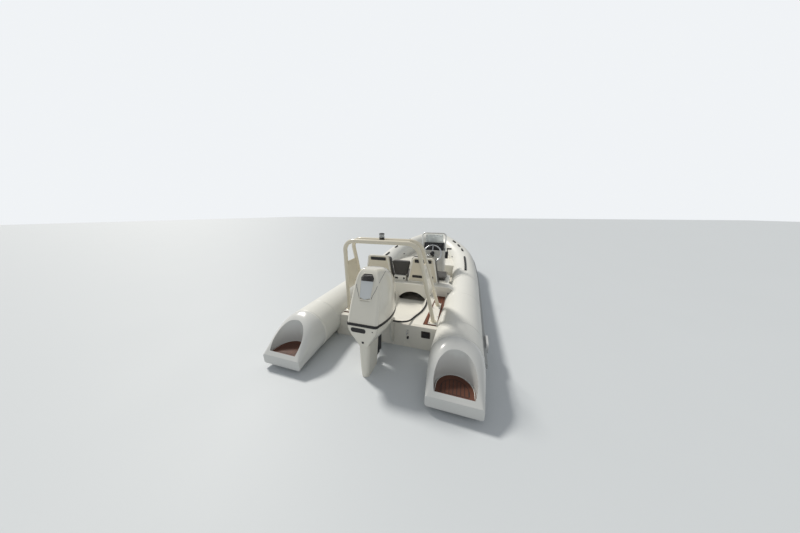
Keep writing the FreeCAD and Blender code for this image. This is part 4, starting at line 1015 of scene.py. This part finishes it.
bezels, marks, rockers = [], [], []
dial_white = finish("dial_white", screen(206, 208, 206), 0.35, mottle=0.03, grain=0.02)
for x, up_from_middle, radius in DIALS:
    place, facing = on_dash(x, (dash_low.z + dash_high.z) / 2 + up_from_middle - 0.01)
    bezels.append(turned("bezel", place, facing, [(r * radius, h * 0.05) for r, h in BEZEL], 36))
    for turn in TICK_TURNS:
        marks.append(dial_mark(place + facing * 0.0032, facing, radius, turn, TICK, 0.0006))
    marks.append(dial_mark(place + facing * 0.0036, facing, radius, HAND_TURN, HAND, 0.0008))
black(merged("dash_dials", bezels))
fitted(merged("dash_needles", marks), "hull", dial_white)
for k in range(5):
    place, facing = on_dash(0.05 * k - 0.10, dash_low.z + 0.030)
    rockers.append(tablet("rocker", place, facing, (0.012, 0.018, 0.003), 0.005, 0.002, 3))
    rockers.append(tablet("toe", place + facing * 0.004, facing, (0.008, 0.006, 0.002), 0.003, 0.001, 3))
black(merged("dash_switches", rockers))

# The wheel has a bright metal rim and spokes round a black hub cap, on a black column.
# The throttle beside it is a black box with a lever, bolted on the console's side.
wheel_metal = finish(
    "wheel_metal", screen(204, 206, 208), 0.22,
    mottle=0.05, patches=25, grain=0.05, fine=400, Metallic=1.0,
)
dress(wheel_metal, "helm_wheel")
dress(black_trim, "helm_column", "throttle")
WHEEL_AT = Vector((CONSOLE_X, STERN + 2.690, 0.900))
WHEEL_RAKE = math.radians(28)
wheel_axis = Vector((0, -math.cos(WHEEL_RAKE), math.sin(WHEEL_RAKE)))
HUB = [(0.046, -0.012), (0.048, 0.0), (0.048, 0.008), (0.045, 0.013)]
HUB += [(0.034, 0.019), (0.018, 0.022), (0.0, 0.023)]
black(turned("wheel_hub_cap", WHEEL_AT, wheel_axis, HUB, 48), "helm")

# The engine cowl and its lower pan are moulded plastic, painted light warm grey and lacquered.
# A thick black seal closes the joint, and the back has a louvred air vent over a plain panel.
TILT_AT = Vector((0, STERN + 0.740, 0.395))
REST_TILT = math.radians(6)
engine_grey = finish(
    "engine_grey", screen(221, 218, 206), 0.22,
    mottle=0.025, patches=3, grain=0.02, fine=220, Coat_Weight=0.5,
)
dress(engine_grey, "cowl", "lower_pan", "midsection", "gearcase")
bracket_grey = finish("bracket_grey", screen(196, 195, 187), 0.34, mottle=0.06, grain=0.08, fine=300)
dress(bracket_grey, "clamp_bracket")
swivel_black = finish("swivel_black", screen(46, 47, 49), 0.42, mottle=0.08, grain=0.12, fine=400)
dress(swivel_black, "swivel_bracket", "steering_pin")
dress(finish("block_black", screen(38, 39, 41), 0.5, mottle=0.10, grain=0.2, fine=300), "powerhead")
propeller_grey = finish(
    "propeller_grey", screen(70, 71, 73), 0.32, mottle=0.08, grain=0.08, fine=300, Coat_Weight=0.2
)
dress(propeller_grey, "propeller")


def on_engine(x, y, z):
    """A place given on the upright engine, forward and up from its tilt axis, as it stands tilted."""
    c, s = math.cos(REST_TILT), math.sin(REST_TILT)
    return TILT_AT + Vector((x, y * c + z * s, z * c - y * s))


engine_up = (on_engine(0, 0, 1) - on_engine(0, 0, 0)).normalized()
engine_ahead = (on_engine(0, 1, 0) - on_engine(0, 0, 0)).normalized()
black_seal_and_pan_vent_shade = finish("black_seal_and_pan_vent_shade", screen(20, 20, 21), 0.45, mottle=0.12, grain=0.15, fine=500)
RING_STEPS = 120
RING_UP = 0.004
cowl_points = [v.co - TILT_AT for v in nodes["cowl"].data.vertices]
ring_height = min(p.dot(engine_up) for p in cowl_points) + RING_UP
foot = [p.dot(engine_ahead) for p in cowl_points if p.dot(engine_up) < ring_height]
inside = TILT_AT + engine_ahead * (sum(foot) / len(foot)) + engine_up * ring_height
ring = []
for way in circle(Vector(), EAST, engine_ahead, 1, RING_STEPS):
    ring.append(found_on("cowl", inside + way, -way)[0] - engine_up * RING_UP)
ring_middle = sum(ring, Vector()) / len(ring)
SEAL = ((-0.008, -0.014), (0.0045, -0.013), (0.007, -0.009))
SEAL += ((0.007, 0.009), (0.0045, 0.014), (-0.008, 0.016))
points = []
for p in ring:
    out = p - ring_middle
    out = (out - engine_up * out.dot(engine_up)).normalized()
    points += [p + out * o + engine_up * h for o, h in SEAL]
seal = smooth(from_faces("cowl_seal", points, rings_joined(len(SEAL), len(ring), True)), 45)
fitted(seal, "engine", black_seal_and_pan_vent_shade)
# The sunk panel is a plate of the cowl's own white; its grey, a little darker and cooler than the cowl's
# paint, is painted sky reflection.
panel_grey_and_sky_reflection = finish("panel_grey_and_sky_reflection", screen(204, 208, 209), 0.24, mottle=0.04, grain=0.04, Coat_Weight=0.4)


def back_of_cowl(z):
    """How far aft the flat back of the cowl stands at a height, beside the sunk panel."""
    place, facing = found_on("cowl", on_engine(0.080, -0.9, z), engine_ahead)
    return (place - TILT_AT).dot(engine_ahead)


PLATE_ROWS = 10
PLATE_SUNK = 0.004


def flat_on_back(name, corners, proud, thick, material):
    """A plate on the cowl's back, from (x, height) corners, that bends along with it."""
    low_z, high_z = min(z for x, z in corners), max(z for x, z in corners)
    line = [Vector((x, 0, z)) for x, z in corners]
    points, faces = [], []
    for r in range(PLATE_ROWS + 1):
        z = low_z + (high_z - low_z) * r / PLATE_ROWS
        half = 0.0
        for a, b in zip(line, line[1:] + line[:1]):
            if (a.z - z) * (b.z - z) <= 1e-12 and abs(a.z - b.z) > 1e-9:
                half = max(half, a.x + (b.x - a.x) * (z - a.z) / (b.z - a.z))
            elif abs(a.z - b.z) <= 1e-9 and abs(a.z - z) < 1e-9:
                half = max(half, a.x, b.x)
        y = back_of_cowl(z)
        for face_y in (y + PLATE_SUNK, y - proud, y - proud - thick):
            inset = 0.0 if face_y > y - proud - thick else min(thick, 0.002)
            points += [on_engine(-half + inset, face_y, z), on_engine(half - inset, face_y, z)]
    for r in range(PLATE_ROWS):
        n, m = r * 6, r * 6 + 6
        faces += [(n + 4, n + 5, m + 5, m + 4), (n, m, m + 1, n + 1)]
        faces += [(n, n + 2, m + 2, m), (n + 2, n + 4, m + 4, m + 2)]
        faces += [(n + 1, m + 1, m + 3, n + 3), (n + 3, m + 3, m + 5, n + 5)]
    faces += [(0, 1, 3, 2), (2, 3, 5, 4)]
    last = PLATE_ROWS * 6
    faces += [(last, last + 2, last + 3, last + 1), (last + 2, last + 4, last + 5, last + 3)]
    return fitted(smooth(from_faces(name, points, faces), 40), "engine", material)


BACK_PANEL = [(0.070, 0.606), (0.058, 0.428), (-0.058, 0.428), (-0.070, 0.606)]
BACK_VENT = [(0.046, 0.676), (0.074, 0.64), (0.07, 0.606), (-0.07, 0.606), (-0.074, 0.64), (-0.046, 0.676)]
flat_on_back("cowl_back_panel", BACK_PANEL, 0.0024, 0.0022, panel_grey_and_sky_reflection)
flat_on_back("cowl_vent", BACK_VENT, 0.0006, 0.0016, black_seal_and_pan_vent_shade)
LOUVRES = 6
LOUVRE_GAP = 0.0105
louvre_out = (engine_up * 0.9 - engine_ahead * 0.4).normalized()
louvres = []
for k in range(LOUVRES):
    z = BACK_PANEL[0][1] + 0.006 + LOUVRE_GAP * k
    half = 0.066 if z < 0.645 else 0.066 - (z - 0.645) * 0.75
    y = back_of_cowl(z) - 0.002
    blade = [on_engine(-half, y, z), on_engine(half, y, z)]
    blade += [on_engine(x, y - 0.006, z - 0.004) for x in (half, -half)]
    louvres.append(plate("louvre", blade, louvre_out, 0.0018))
black(merged("cowl_louvres", louvres), "engine")
BORDER = ((0.076, 0.640), (0.062, 0.424), (-0.062, 0.424), (-0.076, 0.640), (-0.048, 0.680), (0.048, 0.680))
outline = filled_in([Vector((x, 0, z)) for x, z in BORDER], 0.014)
border_line = [on_engine(p.x, back_of_cowl(p.z) - 0.0015, p.z) for p in outline]
border = tube("cowl_panel_border", border_line, 0.0042, sides=10, closed=True)
fitted(border, "engine", engine_grey)

# A moulded joint runs down each side of the cowl's back, and the pan has a slotted drain vent.
# A screw holds the pan's halves together, and a flushing plug stands under the vent.
JOINT_LINE = [(0.146, -0.300, 0.700), (0.141, -0.334, 0.685), (0.134, -0.439, 0.617)]
JOINT_LINE += [(0.109, -0.477, 0.538), (0.080, -0.497, 0.474), (0.066, -0.505, 0.434)]
JOINT_R = 0.0026
# The joint is drawn as a dark grey bead, whose dark grey is painted shade in the joint's groove.
groove_painted_shade = finish("groove_painted_shade", screen(96, 94, 96), 0.45, mottle=0.06, grain=0.05)


def laid_on_cowl(points, gap):
    """The nearest places on the cowl along a line of points, each with the way that it faces."""
    return [surfaces["cowl"].find_nearest(p)[:2] for p in filled_in(points, gap, closed=False)]


for side, label in ((1, "starboard"), (-1, "port")):
    rough = laid_on_cowl([on_engine(side * x, y, z) for x, y, z in JOINT_LINE], 0.010)
    close = laid_on_cowl([place for place, facing in rough], 0.004)
    track = [place - facing * (JOINT_R / 3) for place, facing in close]
    fitted(tube("cowl_joint_" + label, track, JOINT_R, sides=8), "engine", groove_painted_shade)
PAN_VENT_X, PAN_VENT_Z = -0.036, 0.122
PAN_VENT_HALF = (0.082, 0.025)
PAN_AFT = -0.9


def on_pan(x, z):
    """The point of the pan's back at a height, and the way that it faces."""
    return found_on("lower_pan", on_engine(x, PAN_AFT, z), engine_ahead)


vent_line = rounded_outline(Vector((PAN_VENT_X, PAN_VENT_Z, 0)), EAST, NORTH, *PAN_VENT_HALF, 0.022)
vent_rim = [on_pan(p.x, p.y)[0] for p in vent_line]
# The vent is drawn as a black plate, whose black is painted shade inside the vent's slots.
fitted(plate("pan_vent", vent_rim, -engine_ahead, 0.003, lip=0.001), "engine", black_seal_and_pan_vent_shade)
screws("pan_screws", "engine", black_trim, [on_pan(0.120, 0.128)], 0.0068, 0.004)
PLUG = [(0.0130, -0.001), (0.0130, 0.004), (0.0105, 0.006), (0.0, 0.006)]
plug_at, plug_out = on_pan(0.0, -0.022)
black(turned("flushing_plug", plug_at, plug_out, PLUG, 24), "engine")
